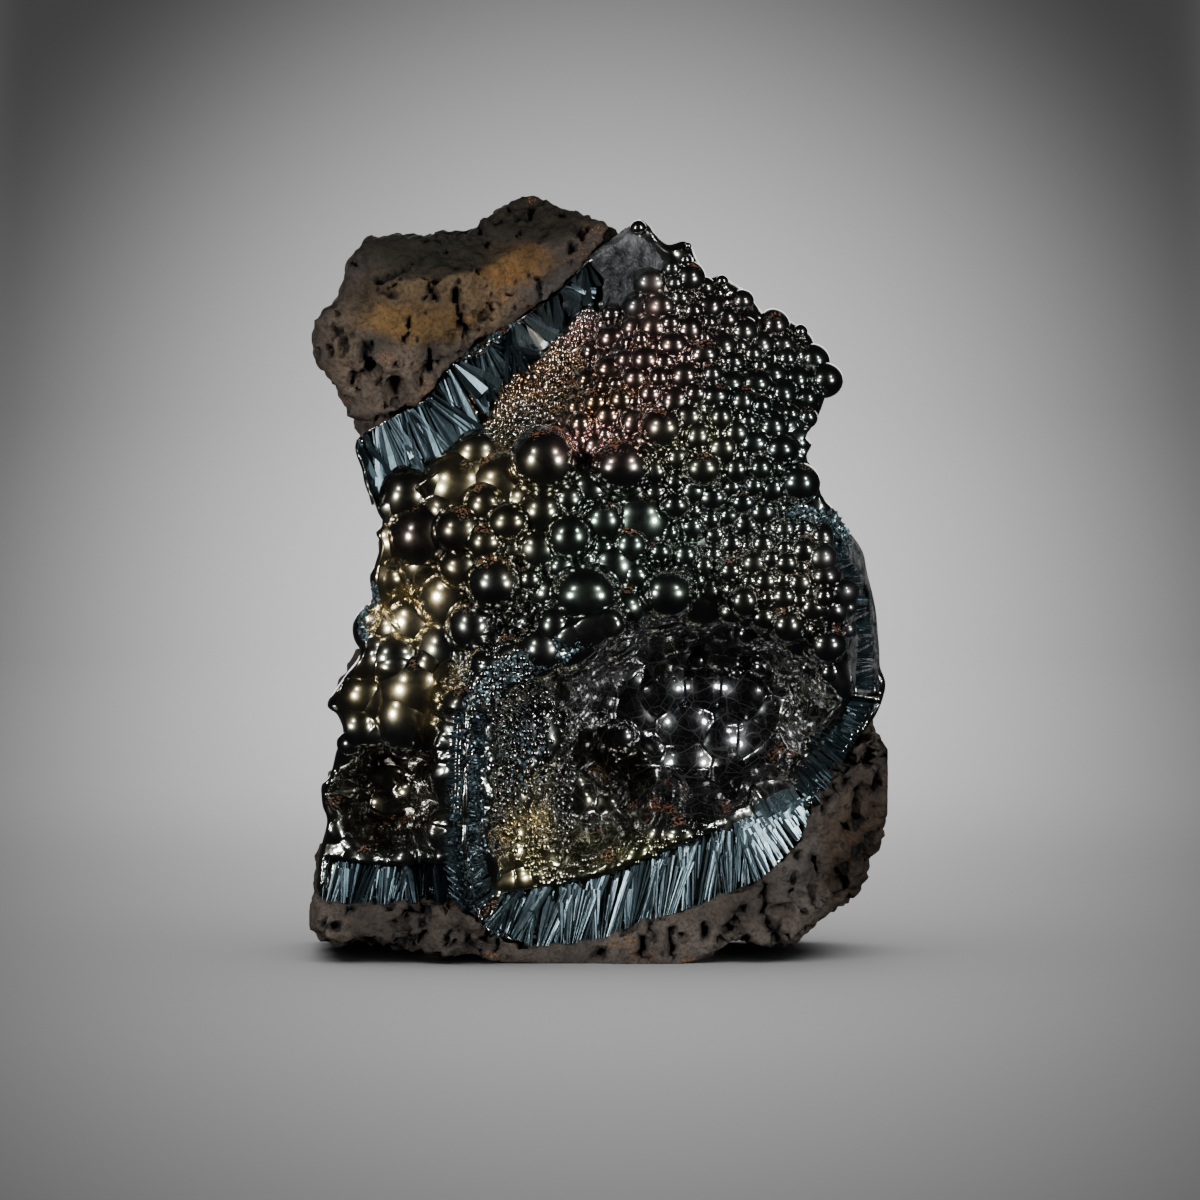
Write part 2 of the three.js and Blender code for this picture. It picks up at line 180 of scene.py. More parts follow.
@dataclass
class Relief:
    """The front face's main forms: basins, shelves and the septum between the basins."""

    front_depth: float = 11.5
    lean: float = 0.055
    height: float = 120.0
    swells: tuple[Swell, ...] = (
        Swell((694, 712), (158, 116), 0, 0.5, -15),  # main basin
        Swell((588, 796), (84, 72), 30, 0.35, -9),  # basin lobe by the septum
        Swell((386, 788), (66, 64), 0, 0.4, -11),  # left basin
        Swell((402, 606), (52, 60), 0, 0.3, -3),  # hollow on the left
        Swell((560, 545), (180, 100), -10, 0.3, 4),  # shelf of large bubbles
        Swell((715, 430), (150, 120), -30, 0.2, 4),  # swell of small bubbles
        Swell((566, 345), (150, 62), 48, 0.2, -7),  # trough below the shoulder
        Swell((790, 572), (86, 58), 0, 0.4, 4),  # cluster over the right rim
        Swell((405, 318), (120, 80), 25, 0.5, 4),  # shoulder of matrix
        Swell((850, 280), (220, 190), 0, 0.1, -12),  # fall to the top right
        Swell((470, 170), (260, 100), 0, 0.1, -10),  # fall to the top
        Swell((905, 880), (130, 170), 0, 0.1, -9),  # fall to the lower right
        Swell((290, 720), (80, 260), 0, 0.1, -5),  # fall to the left side
    )
    crest: tuple[Pixel, ...] = (
        (470, 905), (461, 830), (463, 760), (466, 700), (492, 664), (548, 640), (600, 622),
    )
    septum_half_width: float = 47.0
    septum_rise: float = 9.5
    septum_rise_at_foot: float = 3.0
    septum_full_from: float = 24.0
    septum_top: float = 0.15

    def septum_reach(self, x: np.ndarray, z: np.ndarray) -> np.ndarray:
        """Distance from the septum's crest in millimetres.

        Args:
            x: millimetres right.
            z: millimetres up.

        Returns:
            One distance for each place.
        """
        reach = np.full(np.shape(x), np.inf)
        crest = [(VIEW.x(px), VIEW.z(py)) for px, py in self.crest]
        for (ax, az), (bx, bz) in zip(crest, crest[1:]):
            along = ((x - ax) * (bx - ax) + (z - az) * (bz - az)) / ((bx - ax) ** 2 + (bz - az) ** 2)
            along = np.clip(along, 0.0, 1.0)
            away = np.hypot(x - ax - along * (bx - ax), z - az - along * (bz - az))
            reach = np.minimum(reach, away)
        return reach

    def front(self, x: np.ndarray, z: np.ndarray) -> np.ndarray:
        """The front face's y in millimetres; smaller is nearer to the viewer.

        Args:
            x: millimetres right.
            z: millimetres up.

        Returns:
            One y for each place.
        """
        height = self.front_depth - (z - self.height / 2) * self.lean
        for swell in self.swells:
            dx = x - VIEW.x(swell.at[0])
            dz = z - VIEW.z(swell.at[1])
            turn = math.radians(swell.turn)
            across = dx * math.cos(turn) + dz * math.sin(turn)
            up = dz * math.cos(turn) - dx * math.sin(turn)
            wide, tall = swell.radius[0] * VIEW.scale, swell.radius[1] * VIEW.scale
            reach = np.hypot(across / wide, up / tall)
            height = height + swell.rise * (1.0 - smoothstep(reach, swell.flat, 1.0))
        rise = self.septum_rise_at_foot
        rise = rise + (self.septum_rise - rise) * smoothstep(z, 0.0, self.septum_full_from)
        reach = self.septum_reach(x, z) / (self.septum_half_width * VIEW.scale)
        septum = rise * (1.0 - smoothstep(reach, self.septum_top, 1.0))
        return VIEW.shift_y - height - septum


RELIEF = Relief()


@dataclass
class Outline:
    """A closed outline through view pixels, smoothed and sampled by its share of the way round."""

    points: tuple[Pixel, ...]
    centre: Pixel
    steps: int = 8

    def __post_init__(self) -> None:
        """Lay a smooth curve through the points and measure it."""
        corners = np.array([(VIEW.x(px), VIEW.z(py)) for px, py in self.points])
        before, after = np.roll(corners, 1, axis=0), np.roll(corners, -1, axis=0)
        beyond = np.roll(corners, -2, axis=0)
        pieces = []
        for step in range(self.steps):
            t = step / self.steps
            pieces.append(0.5 * (2 * corners + (after - before) * t
                                 + (2 * before - 5 * corners + 4 * after - beyond) * t ** 2
                                 + (3 * corners - before - 3 * after + beyond) * t ** 3))
        path = np.stack(pieces, axis=1).reshape(-1, 2)
        self.path = np.vstack([path, path[:1]])
        lengths = np.hypot(*np.diff(self.path, axis=0).T)
        self.along = np.concatenate([[0.0], np.cumsum(lengths)])
        self.middle = np.array([VIEW.x(self.centre[0]), VIEW.z(self.centre[1])])

    def at(self, share: np.ndarray) -> tuple[np.ndarray, np.ndarray]:
        """Place on the outline for a share of the way round."""
        distance = np.mod(share, 1.0) * self.along[-1]
        return tuple(np.interp(distance, self.along, self.path[:, axis]) for axis in (0, 1))

    def from_square(self, a: np.ndarray, b: np.ndarray) -> tuple[np.ndarray, np.ndarray, np.ndarray]:
        """Carry a place in the square from -1 to 1 over to the outline.

        Args:
            a: places across the square.
            b: places up the square.

        Returns:
            Millimetres right, millimetres up, and how far out each place lies, 0 to 1.
        """
        share = np.maximum(np.abs(a), np.abs(b))
        safe = np.where(share > 0, share, 1.0)
        a1, b1 = a / safe, b / safe
        way = np.where(a1 >= np.abs(b1), b1 / 8, 0.0)
        top = (b1 >= np.abs(a1)) & (a1 < np.abs(b1))
        way = np.where(top, (1 - a1) / 8 + 1 / 8, way)
        left = (-a1 >= np.abs(b1)) & ~top
        way = np.where(left, (1 - b1) / 8 + 3 / 8, way)
        under = (-b1 >= np.abs(a1)) & ~left & (a1 < np.abs(b1))
        way = np.where(under, (1 + a1) / 8 + 5 / 8, way)
        rim_x, rim_z = self.at(way)
        x = self.middle[0] + (rim_x - self.middle[0]) * share
        z = self.middle[1] + (rim_z - self.middle[1]) * share
        return x, z, share


CRUST_RIM = Outline(centre=(610, 620), points=(
    (874, 640), (870, 601), (862, 567), (857, 545), (842, 523), (831, 506), (816, 488), (813, 470), (802, 453),
    (807, 440), (802, 431), (810, 420), (819, 401), (823, 384), (818, 368), (814, 353), (809, 336), (800, 328),
    (785, 320), (768, 319), (755, 306), (746, 293), (727, 280), (718, 274), (705, 276), (694, 258), (688, 245),
    (680, 240), (665, 243), (653, 233), (646, 223), (635, 220), (606, 240), (588, 254), (570, 276), (548, 298),
    (515, 318), (480, 338), (450, 364), (428, 393), (396, 412), (357, 436), (362, 466), (367, 486), (382, 514),
    (376, 527), (380, 540), (372, 570), (372, 594), (361, 605), (358, 621), (360, 647), (346, 668), (327, 698),
    (337, 709), (343, 725), (336, 745), (330, 768), (321, 780), (322, 798), (327, 814), (320, 843), (318, 865),
    (320, 886), (360, 893), (410, 892), (447, 886), (474, 904), (490, 924), (530, 934), (590, 930), (640, 910),
    (700, 892), (758, 868), (788, 838), (808, 800), (828, 765), (850, 735), (868, 712), (878, 690), (880, 675),
    (875, 660),
))


@dataclass(frozen=True)
class Zone:
    """An elliptical patch of the front where bubbles or cobbles of one kind grow.

    Sizes are radii in view pixels; `stands_out` is the share of a bubble's radius that is out of the skin.
    """

    name: str
    at: Pixel
    radius: Pixel
    turn: float
    sizes: tuple[float, float] = (1, 1)
    stands_out: tuple[float, float] = (0.5, 0.7)
    spacing: float = 0.74
    darts: int = 3000

    def covers(self, px: float, py: float) -> bool:
        """Whether a view pixel lies in the patch."""
        return self.reach(px, py) <= 1.0

    def reach(self, px: np.ndarray, py: np.ndarray) -> np.ndarray:
        """Distance from the patch's middle as a share of its radius.

        Args:
            px: columns in view pixels.
            py: rows in view pixels.

        Returns:
            0 in the middle, 1 at the patch's edge.
        """
        turn = math.radians(self.turn)
        dx, dy = px - self.at[0], self.at[1] - py
        across = dx * math.cos(turn) + dy * math.sin(turn)
        up = dy * math.cos(turn) - dx * math.sin(turn)
        return np.hypot(across / self.radius[0], up / self.radius[1])

    def place(self, reach: float, angle: float) -> Pixel:
        """View pixel at a share of the patch's radius and an angle.

        Args:
            reach: share of the radius.
            angle: angle in radians.

        Returns:
            Column and row.
        """
        turn = math.radians(self.turn)
        across, up = self.radius[0] * reach * math.cos(angle), self.radius[1] * reach * math.sin(angle)
        return (self.at[0] + across * math.cos(turn) - up * math.sin(turn),
                self.at[1] - across * math.sin(turn) - up * math.cos(turn))


@dataclass(frozen=True)
class NeedleBand:
    """A stretch of broken edge between the matrix and the skin, filled with needles.

    Both lines are in view pixels and run the same way, and each needle joins a place of one to one of the other.
    """

    name: str
    matrix_line: tuple[Pixel, ...]
    skin_line: tuple[Pixel, ...]
    blades: int
    width: tuple[float, float] = (0.4, 1.3)
    fans: float = 7.0
    spread: float = 0.035
    sunk: float = 1.2
    shade: tuple[float, float] = (0.1, 1.0)
    mirrored: bool = False

    @property
    def outline(self) -> np.ndarray:
        """The band's outline in millimetres, x and z."""
        corners = self.matrix_line + self.skin_line[::-1] + self.matrix_line[:1]
        return np.array([(VIEW.x(px), VIEW.z(py)) for px, py in corners])


NEEDLE_BANDS = (
    NeedleBand("foot", ((478, 914), (530, 937), (590, 933), (640, 913), (700, 895), (762, 868)),
               ((500, 884), (548, 878), (600, 868), (655, 846), (708, 824), (748, 806)),
               520, (0.25, 1.1), 9.0, 0.05, 1.4),
    # painted highlight: the palest blades here take some of the near-white glint
    NeedleBand("corner", ((758, 870), (790, 838), (812, 805)), ((738, 826), (756, 792), (792, 778)),
               70, (0.9, 2.2), 2.0, 0.01, 1.2, (0.85, 1.1), True),
    NeedleBand("left foot", ((322, 892), (360, 896), (410, 895), (452, 892)),
               ((326, 850), (372, 856), (410, 858), (450, 850)),
               240, (0.25, 0.9), 4.0, 0.05, shade=(0.0, 0.55)),
    NeedleBand("upper left", ((586, 262), (556, 292), (515, 322), (486, 346), (450, 364), (424, 400)),
               ((602, 282), (562, 328), (540, 350), (500, 384), (482, 420), (462, 452)),
               190, (0.7, 3.4), 5.0, 0.12, 2.4),
    # painted highlight: these facets are turned to mirror the softboxes and painted near-white
    NeedleBand("bright facets", ((524, 322), (536, 326)), ((540, 352), (548, 344)),
               7, (1.6, 2.6), 1.0, 0.2, 3.4, (1.3, 1.4), True),
    NeedleBand("left shoulder", ((424, 400), (396, 412), (357, 436)), ((462, 452), (418, 480), (376, 500)),
               110, (0.6, 2.6), 3.0, 0.18, 2.0),
    NeedleBand("right rim", ((834, 532), (856, 567), (866, 601), (870, 645), (872, 688)),
               ((820, 542), (838, 570), (847, 604), (850, 650), (848, 688)),
               240, (0.2, 0.6), 6.0, 0.04, 0.3, (0.1, 0.3)),
    NeedleBand("lower right rim", ((872, 694), (850, 735), (830, 767), (812, 800)),
               ((846, 690), (828, 722), (806, 748), (790, 776)),
               130, (0.3, 1.1), 5.0, 0.04, 0.8, (0.0, 0.35)),
    NeedleBand("septum, left flank", ((464, 700), (462, 760), (460, 830), (470, 905)),
               ((450, 700), (444, 760), (442, 830), (450, 885)),
               260, (0.15, 0.5), 12.0, 0.03, 0.6, (0.0, 0.8)),
    NeedleBand("septum, right flank", ((472, 700), (469, 760), (467, 830), (478, 905)),
               ((488, 704), (484, 760), (482, 830), (496, 885)),
               260, (0.15, 0.5), 12.0, 0.03, 0.6, (0.0, 0.8)),
)


def inside(x: np.ndarray, z: np.ndarray, path: np.ndarray) -> np.ndarray:
    """Whether places lie inside a closed outline, both in millimetres.

    Args:
        x: millimetres right.
        z: millimetres up.
        path: the outline's corners, the first one again at the end.

    Returns:
        True or false for each place.
    """
    crossings = np.zeros(np.shape(x), dtype=int)
    for (ax, az), (bx, bz) in zip(path, path[1:]):
        if bz != az:
            spans = (az > z) != (bz > z)
            crossings += spans & (x < ax + (z - az) * (bx - ax) / (bz - az))
    return crossings % 2 == 1


@dataclass
class Skin:
    """The free surface as a raster: the main forms with a cobbled net of low caps on them."""

    pitch: float = 0.2
    seed: int = 4
    cobbles: tuple[Zone, ...] = (
        Zone("background", (610, 580), (300, 380), 0, (8, 20), (0.3, 0.45), 0.72, 9000),
        Zone("upper right", (705, 395), (135, 150), -35, (7, 13), (0.25, 0.4), 0.74, 9000),
        Zone("right cluster", (775, 570), (84, 66), 0, (7, 13), (0.25, 0.4), 0.74, 4000),
        Zone("golden slope", (532, 382), (112, 46), 42, (2.5, 5), (0.6, 1.0), 0.8, 22000),
        Zone("main basin", (700, 706), (150, 116), 0, (13, 27), (0.22, 0.38), 0.74, 4000),
        Zone("middle", (580, 530), (120, 90), 10, (13, 26), (0.25, 0.4), 0.70, 3000),
        Zone("basin lobe", (585, 790), (76, 74), 0, (8, 18), (0.3, 0.5), 0.72, 2500),
        Zone("left patches", (412, 570), (60, 100), 0, (12, 24), (0.35, 0.55), 0.72, 1500),
        Zone("left basin", (386, 790), (60, 66), 0, (9, 20), (0.3, 0.5), 0.72, 1500),
        Zone("lip", (640, 858), (130, 18), 16, (2.5, 6), (0.4, 0.8), 0.8, 7000),
    )
    wall: Zone = Zone("columns of the top wall", (628, 280), (44, 62), 20)
    hole: Zone = Zone("oval hole", (591, 292), (10, 19), 8)
    hole_depth: float = 3.2
    level_blurs: int = 24
    nearest: float = -24.6
    column_height: float = 0.55
    column_stretch: float = 0.16
    fine_height: float = 0.12
    ease: float = 0.8
    rim_hold: tuple[float, float] = (0.965, 0.995)

    def __post_init__(self) -> None:
        """Lay out the raster and stamp the cobbles on it."""
        self.low = np.array([CAD_BOX[0][0] / MM - 2, CAD_BOX[0][2] / MM - 2])
        high = np.array([CAD_BOX[1][0] / MM + 2, CAD_BOX[1][2] / MM + 2])
        count = np.ceil((high - self.low) / self.pitch).astype(int) + 1
        self.xs = self.low[0] + self.pitch * np.arange(count[0])
        self.zs = self.low[1] + self.pitch * np.arange(count[1])
        grid_x, grid_z = np.meshgrid(self.xs, self.zs, indexing="ij")
        self.base = RELIEF.front(grid_x, grid_z)
        self.rise = np.zeros_like(self.base)
        rng = np.random.default_rng(self.seed)
        for zone in self.cobbles:
            for px, py, size in scatter(zone, rng, []):
                if zone is self.cobbles[0] and any(other.covers(px, py) for other in self.cobbles[1:]):
                    continue
                share = rng.uniform(*zone.stands_out)
                self.stamp(float(VIEW.x(px)), float(VIEW.z(py)), size * VIEW.scale, share)
        shape = self.base.shape
        flat = np.stack([grid_x.ravel(), np.zeros(grid_x.size), grid_z.ravel()], axis=1)
        fine = (lattice_noise(flat, 3.5, 6) * self.fine_height).reshape(shape)
        px, py = VIEW.pixels(grid_x, grid_z)
        upright = flat * np.array([1.0, 1.0, self.column_stretch])
        columns = lattice_noise(upright, 1.0, 7).reshape(shape) * self.column_height
        walled = 1.0 - smoothstep(self.wall.reach(px, py), 0.75, 1.1)
        self.broken = np.zeros(shape)
        sunk = self.hole_depth * (1.0 - smoothstep(self.hole.reach(px, py), 0.6, 1.0))
        for band in NEEDLE_BANDS:
            mask = inside(grid_x, grid_z, band.outline).astype(float)
            self.broken = np.maximum(self.broken, mask)
            sunk = np.maximum(sunk, mask * band.sunk)
        self.broken, sunk = self.soften(self.broken), self.soften(sunk)
        plain = (1.0 - self.broken) * (1.0 - walled)
        self.lift = self.rise * plain + fine + columns * walled * (1.0 - self.broken) - sunk
        self.level = self.rise * plain
        for _ in range(self.level_blurs):
            self.level = self.soften(self.level)
        slope_x, slope_z = np.gradient(self.base, self.pitch)
        self.normal = np.stack([slope_x, -np.ones_like(slope_x), slope_z], axis=-1)
        self.normal /= np.linalg.norm(self.normal, axis=-1, keepdims=True)

    def surface(self, x: np.ndarray, z: np.ndarray, share: np.ndarray) -> np.ndarray:
        """Places on the free surface, whose rim keeps its line.

        Args:
            x: millimetres right.
            z: millimetres up.
            share: how far out each place lies, 0 to 1.

        Returns:
            N x 3 places in millimetres.
        """
        normal = self.sample(self.normal, x, z)
        lift = self.sample(self.lift, x, z)
        hold = 1.0 - smoothstep(share, *self.rim_hold)
        forward = normal[:, 1] * hold - (1.0 - hold)
        y = self.held_back(self.sample(self.base, x, z) + forward * lift)
        return np.stack([x + normal[:, 0] * lift * hold, y, z + normal[:, 2] * lift * hold], axis=1)

    def held_back(self, y: np.ndarray) -> np.ndarray:
        """Depths in millimetres, eased so that none comes nearer than the solid's box allows."""
        over = np.maximum(self.nearest - y, 0.0)
        return y + over - self.ease * (1.0 - np.exp(-over / self.ease))

    def stamp(self, x: float, z: float, size: float, share: float) -> None:
        """Raise one low cap: `share` of its radius high, and `size` across from its middle to its foot.

        Args:
            x: millimetres right.
            z: millimetres up.
            size: radius in millimetres.
            share: height as a share of the radius.
        """
        reach = size * 1.25
        i0, i1 = np.searchsorted(self.xs, [x - reach, x + reach])
        k0, k1 = np.searchsorted(self.zs, [z - reach, z + reach])
        if i0 >= i1 or k0 >= k1:
            return
        away = np.hypot(self.xs[i0:i1, None] - x, self.zs[None, k0:k1] - z) / reach
        cap = size * share * 1.5 * np.clip(1.0 - away ** 2, 0.0, None)
        self.rise[i0:i1, k0:k1] = np.maximum(self.rise[i0:i1, k0:k1], cap)

    @staticmethod
    def soften(raster: np.ndarray) -> np.ndarray:
        """Blur a raster over about three cells.

        Args:
            raster: values on the raster.

        Returns:
            The blurred raster.
        """
        for axis in (0, 1):
            raster = (np.roll(raster, 1, axis) + np.roll(raster, -1, axis) + raster) / 3.0
        return raster

    def sample(self, raster: np.ndarray, x: np.ndarray, z: np.ndarray) -> np.ndarray:
        """Bilinear value of a raster at places in millimetres.

        Args:
            raster: values on the raster.
            x: millimetres right.
            z: millimetres up.

        Returns:
            One value or row of values for each place.
        """
        u = np.clip((x - self.low[0]) / self.pitch, 0, len(self.xs) - 1.001)
        v = np.clip((z - self.low[1]) / self.pitch, 0, len(self.zs) - 1.001)
        i, k = u.astype(int), v.astype(int)
        u, v = u - i, v - k
        if raster.ndim == 3:
            u, v = u[..., None], v[..., None]
        return (raster[i, k] * (1 - u) * (1 - v) + raster[i + 1, k] * u * (1 - v)
                + raster[i, k + 1] * (1 - u) * v + raster[i + 1, k + 1] * u * v)


def scatter(zone: Zone, rng: np.random.Generator, taken: list[Spot]) -> list[Spot]:
    """Throw darts into a zone and keep those that have room, large ones first.

    Args:
        zone: the patch to fill.
        rng: seeded random numbers.
        taken: bubbles that are already there, which the new ones keep clear of.

    Returns:
        Column, row and radius of each new bubble in view pixels.
    """
    cell = 2 * zone.sizes[1]
    buckets: dict[tuple[int, int], list[Spot]] = {}

    def put(spot: Spot) -> None:
        """Keep a bubble in its bucket, and a large one in every bucket that it reaches."""
        span = int(spot[2] // cell) + 1
        for i in range(-span, span + 1):
            for k in range(-span, span + 1):
                buckets.setdefault((int(spot[0] // cell) + i, int(spot[1] // cell) + k), []).append(spot)

    for spot in taken:
        put(spot)
    kept: list[Spot] = []
    sizes = np.sort(zone.sizes[0] + (zone.sizes[1] - zone.sizes[0]) * rng.random(zone.darts) ** 1.8)[::-1]
    angles = rng.random(zone.darts) * 2 * math.pi
    reaches = np.sqrt(rng.random(zone.darts))
    for size, angle, reach in zip(sizes, angles, reaches):
        px, py = zone.place(reach, angle)
        near = buckets.get((int(px // cell), int(py // cell)), [])
        if all(math.hypot(px - ox, py - oy) > zone.spacing * (size + other) for ox, oy, other in near):
            spot = (float(px), float(py), float(size))
            kept.append(spot)
            put(spot)
    return kept


SKIN = Skin()


@dataclass(frozen=True)
class Tint:
    """A soft patch of tarnish on the front view."""

    at: Pixel
    radius: Pixel
    colour: Colour
    strength: float = 1.0

    def amount(self, px: np.ndarray, py: np.ndarray, wander: np.ndarray, full: float, end: float) -> np.ndarray:
        """How much of the patch shows: 1 up to `full` of its radius and 0 from `end` on.

        Args:
            px: columns in view pixels.
            py: rows in view pixels.
            wander: pushes the patch's edge about.
            full: share of the radius where it begins to fade.
            end: share of the radius where it is gone.

        Returns:
            Values from 0 to 1.
        """
        reach = np.hypot((px - self.at[0]) / self.radius[0], (py - self.at[1]) / self.radius[1]) + wander
        return 1.0 - smoothstep(reach, full, end)

    def laid_on(self, colour: np.ndarray, amount: np.ndarray) -> np.ndarray:
        """N x 3 colours with the patch's own laid over them."""
        return colour + (np.array(self.colour) - colour) * (self.strength * amount)[:, None]


@dataclass(frozen=True)
class Paint:
    """Colours of the crust and the matrix, mixed from soft patches placed on the front view."""

    crust_ground: Colour = (0.085, 0.09, 0.078)
    crust: tuple[Tint, ...] = (
        Tint((630, 360), (90, 100), (0.25, 0.155, 0.13), 0.9),
        Tint((590, 420), (60, 40), (0.36, 0.22, 0.19), 0.9),
        Tint((640, 300), (40, 60), (0.26, 0.15, 0.12), 0.6),
        Tint((740, 320), (70, 50), (0.17, 0.14, 0.12), 0.7),
        Tint((528, 385), (104, 40), (0.20, 0.125, 0.055), 0.9),
        Tint((480, 500), (90, 80), (0.20, 0.175, 0.095), 0.8),
        Tint((480, 466), (46, 30), (0.46, 0.38, 0.20), 0.9),
        Tint((405, 605), (44, 44), (0.85, 0.74, 0.45), 1.0),
        Tint((405, 575), (50, 60), (0.42, 0.34, 0.18), 0.9),
        Tint((425, 530), (36, 34), (0.10, 0.075, 0.05), 0.9),
        Tint((400, 690), (70, 44), (0.40, 0.33, 0.17), 0.8),
        Tint((520, 830), (30, 56), (0.52, 0.43, 0.20), 0.9),
        Tint((640, 850), (150, 30), (0.17, 0.165, 0.07), 0.8),
        Tint((760, 440), (110, 110), (0.085, 0.115, 0.10), 0.8),
        Tint((690, 440), (50, 40), (0.20, 0.19, 0.12), 0.6),
        Tint((780, 580), (90, 60), (0.13, 0.125, 0.095), 0.7),
        Tint((620, 540), (100, 70), (0.085, 0.12, 0.095), 0.8),
        Tint((625, 275), (45, 55), (0.050, 0.052, 0.053), 0.95),
        # painted shade: the next three patches darken the main basin, the basin lobe and the left basin, which
        # lie in hollows
        Tint((690, 705), (138, 100), (0.030, 0.030, 0.033), 1.0),
        Tint((600, 775), (50, 50), (0.055, 0.05, 0.03), 0.9),
        Tint((386, 790), (60, 60), (0.06, 0.05, 0.025), 0.9),
        Tint((848, 610), (28, 90), (0.045, 0.045, 0.047), 0.9),
        Tint((838, 548), (26, 22), (0.085, 0.078, 0.082), 0.9),
        # painted shade: the oval hole is painted black
        Tint((591, 292), (12, 22), (0.01, 0.01, 0.01), 1.0),
    )
    folded: tuple[Tint, ...] = (
        Tint((700, 710), (142, 106), (0.8, 0.8, 0.8)),
        Tint((590, 795), (74, 70), (0.3, 0.3, 0.3)),
        Tint((386, 790), (64, 62), (0.3, 0.3, 0.3)),
        Tint((420, 540), (50, 60), (0.2, 0.2, 0.2)),
        Tint((660, 530), (60, 50), (0.35, 0.35, 0.35)),
    )
    dull: tuple[Tint, ...] = (
        Tint((625, 275), (46, 58), (0.8, 0.8, 0.8)),
        Tint((856, 610), (22, 95), (1.0, 1.0, 1.0)),
        Tint((838, 550), (28, 26), (1.0, 1.0, 1.0)),
        Tint((591, 292), (12, 22), (1.0, 1.0, 1.0)),
    )
    crumbly: tuple[Tint, ...] = (
        Tint((496, 400), (40, 34), (1.0, 1.0, 1.0)),
        Tint((556, 350), (60, 54), (1.0, 1.0, 1.0)),
        Tint((640, 864), (110, 16), (0.8, 0.8, 0.8)),
        Tint((490, 770), (20, 110), (0.9, 0.9, 0.9)),
        Tint((356, 590), (12, 40), (0.9, 0.9, 0.9)),
        Tint((775, 512), (62, 16), (0.9, 0.9, 0.9)),
        Tint((350, 870), (60, 40), (0.6, 0.6, 0.6)),
    )

    @classmethod
    def surface(cls, points: np.ndarray) -> np.ndarray:
        """How wrinkled, how dull and how crumbly the skin is, as N x 4 values from 0 to 1.

        Args:
            points: N x 3 places in millimetres.

        Returns:
            One colour for each place.
        """
        px, py = VIEW.pixels(points[:, 0], points[:, 2])
        values = np.zeros((len(points), 4))
        values[:, 3] = 1.0
        wander = lattice_noise(points, 5.0, 24) * 0.3
        for channel, tints in enumerate((cls.folded, cls.dull, cls.crumbly)):
            for tint in tints:
                amount = tint.colour[0] * tint.amount(px, py, wander, 0.6, 1.1)
                values[:, channel] = np.maximum(values[:, channel], amount)
        return values

    @classmethod
    def tarnish(cls, points: np.ndarray) -> np.ndarray:
        """Colour of the crust's skin at places in millimetres, as N x 4 values: tarnish, with painted shade in
        the basins and the hole.

        Args:
            points: N x 3 places in millimetres.

        Returns:
            One colour for each place.
        """
        px, py = VIEW.pixels(points[:, 0], points[:, 2])
        colour = np.tile(np.array(cls.crust_ground), (len(points), 1))
        wander = lattice_noise(points, 7.0, 21) * 0.5
        for tint in cls.crust:
            colour = tint.laid_on(colour, tint.amount(px, py, wander, 0.35, 1.2))
        shade = 1.0 + 0.4 * lattice_noise(points, 2.5, 22)
        colour *= shade[:, None]
        return np.hstack([np.clip(colour, 0.0, 1.0), np.ones((len(points), 1))])


def deselect() -> None:
    """Leave nothing selected."""
    bpy.ops.object.select_all(action="DESELECT")


def active_mesh(name: str) -> bpy.types.Object:
    """Name the object that an operator has just added, and return it.

    Args:
        name: its new name.

    Returns:
        The object.
    """
    piece = bpy.context.active_object
    piece.name = name
    piece.data.name = name
    return piece


def points_of(piece: bpy.types.Object) -> np.ndarray:
    """Vertices of a piece in millimetres, N x 3.

    Args:
        piece: the piece.

    Returns:
        Its vertices, in their order.
    """
    flat = np.empty(3 * len(piece.data.vertices))
    piece.data.vertices.foreach_get("co", flat)
    return flat.reshape(-1, 3) / MM


def set_points(piece: bpy.types.Object, points: np.ndarray) -> None:
    """Move the vertices of a piece to places in millimetres."""
    piece.data.vertices.foreach_set("co", (points * MM).ravel())
    piece.data.update()


def mesh_from_arrays(name: str, points: np.ndarray, faces: np.ndarray) -> bpy.types.Object:
    """Join many small copies in one mesh.

    Args:
        name: name of the piece.
        points: vertices in millimetres.
        faces: vertex numbers, one row a face.

    Returns:
        The new object, at the origin.
    """
    mesh = bpy.data.meshes.new(name)
    mesh.vertices.add(len(points))
    mesh.vertices.foreach_set("co", (points * MM).ravel())
    corners = faces.shape[1]
    mesh.loops.add(faces.size)
    mesh.loops.foreach_set("vertex_index", faces.ravel().astype(np.int32))
    mesh.polygons.add(len(faces))
    mesh.polygons.foreach_set("loop_start", np.arange(0, faces.size, corners, dtype=np.int32))
    mesh.update(calc_edges=True)
    mesh.validate()
    piece = bpy.data.objects.new(name, mesh)
    bpy.context.scene.collection.objects.link(piece)
    return piece


def joined_copies(name: str, copies: list[np.ndarray], faces: np.ndarray) -> bpy.types.Object:
    """One mesh of many copies, each given by its vertices in millimetres; all have the same faces."""
    offsets = (np.arange(len(copies)) * len(copies[0]))[:, None, None]
    return mesh_from_arrays(name, np.concatenate(copies), (faces[None] + offsets).reshape(-1, faces.shape[1]))


def set_colour(piece: bpy.types.Object, name: str, values: np.ndarray) -> None:
    """Store an N x 4 colour on the vertices of a piece."""
    layer = piece.data.color_attributes.new(name, "FLOAT_COLOR", "POINT")
    layer.data.foreach_set("color", values.astype(np.float32).ravel())


def set_shades(piece: bpy.types.Object, shades: list[float]) -> None:
    """Store one grey for each of a piece's equal copies, as the colour that the needles' finish reads."""
    shade = np.repeat(np.array(shades), len(piece.data.vertices) // len(shades))
    set_colour(piece, "shade", np.stack([shade, shade, shade, np.ones_like(shade)], axis=1))


def shade_smooth(piece: bpy.types.Object, smooth: bool = True) -> None:
    """Shade all faces of a piece smooth or flat."""
    piece.data.polygons.foreach_set("use_smooth", np.full(len(piece.data.polygons), smooth))
    piece.data.update()


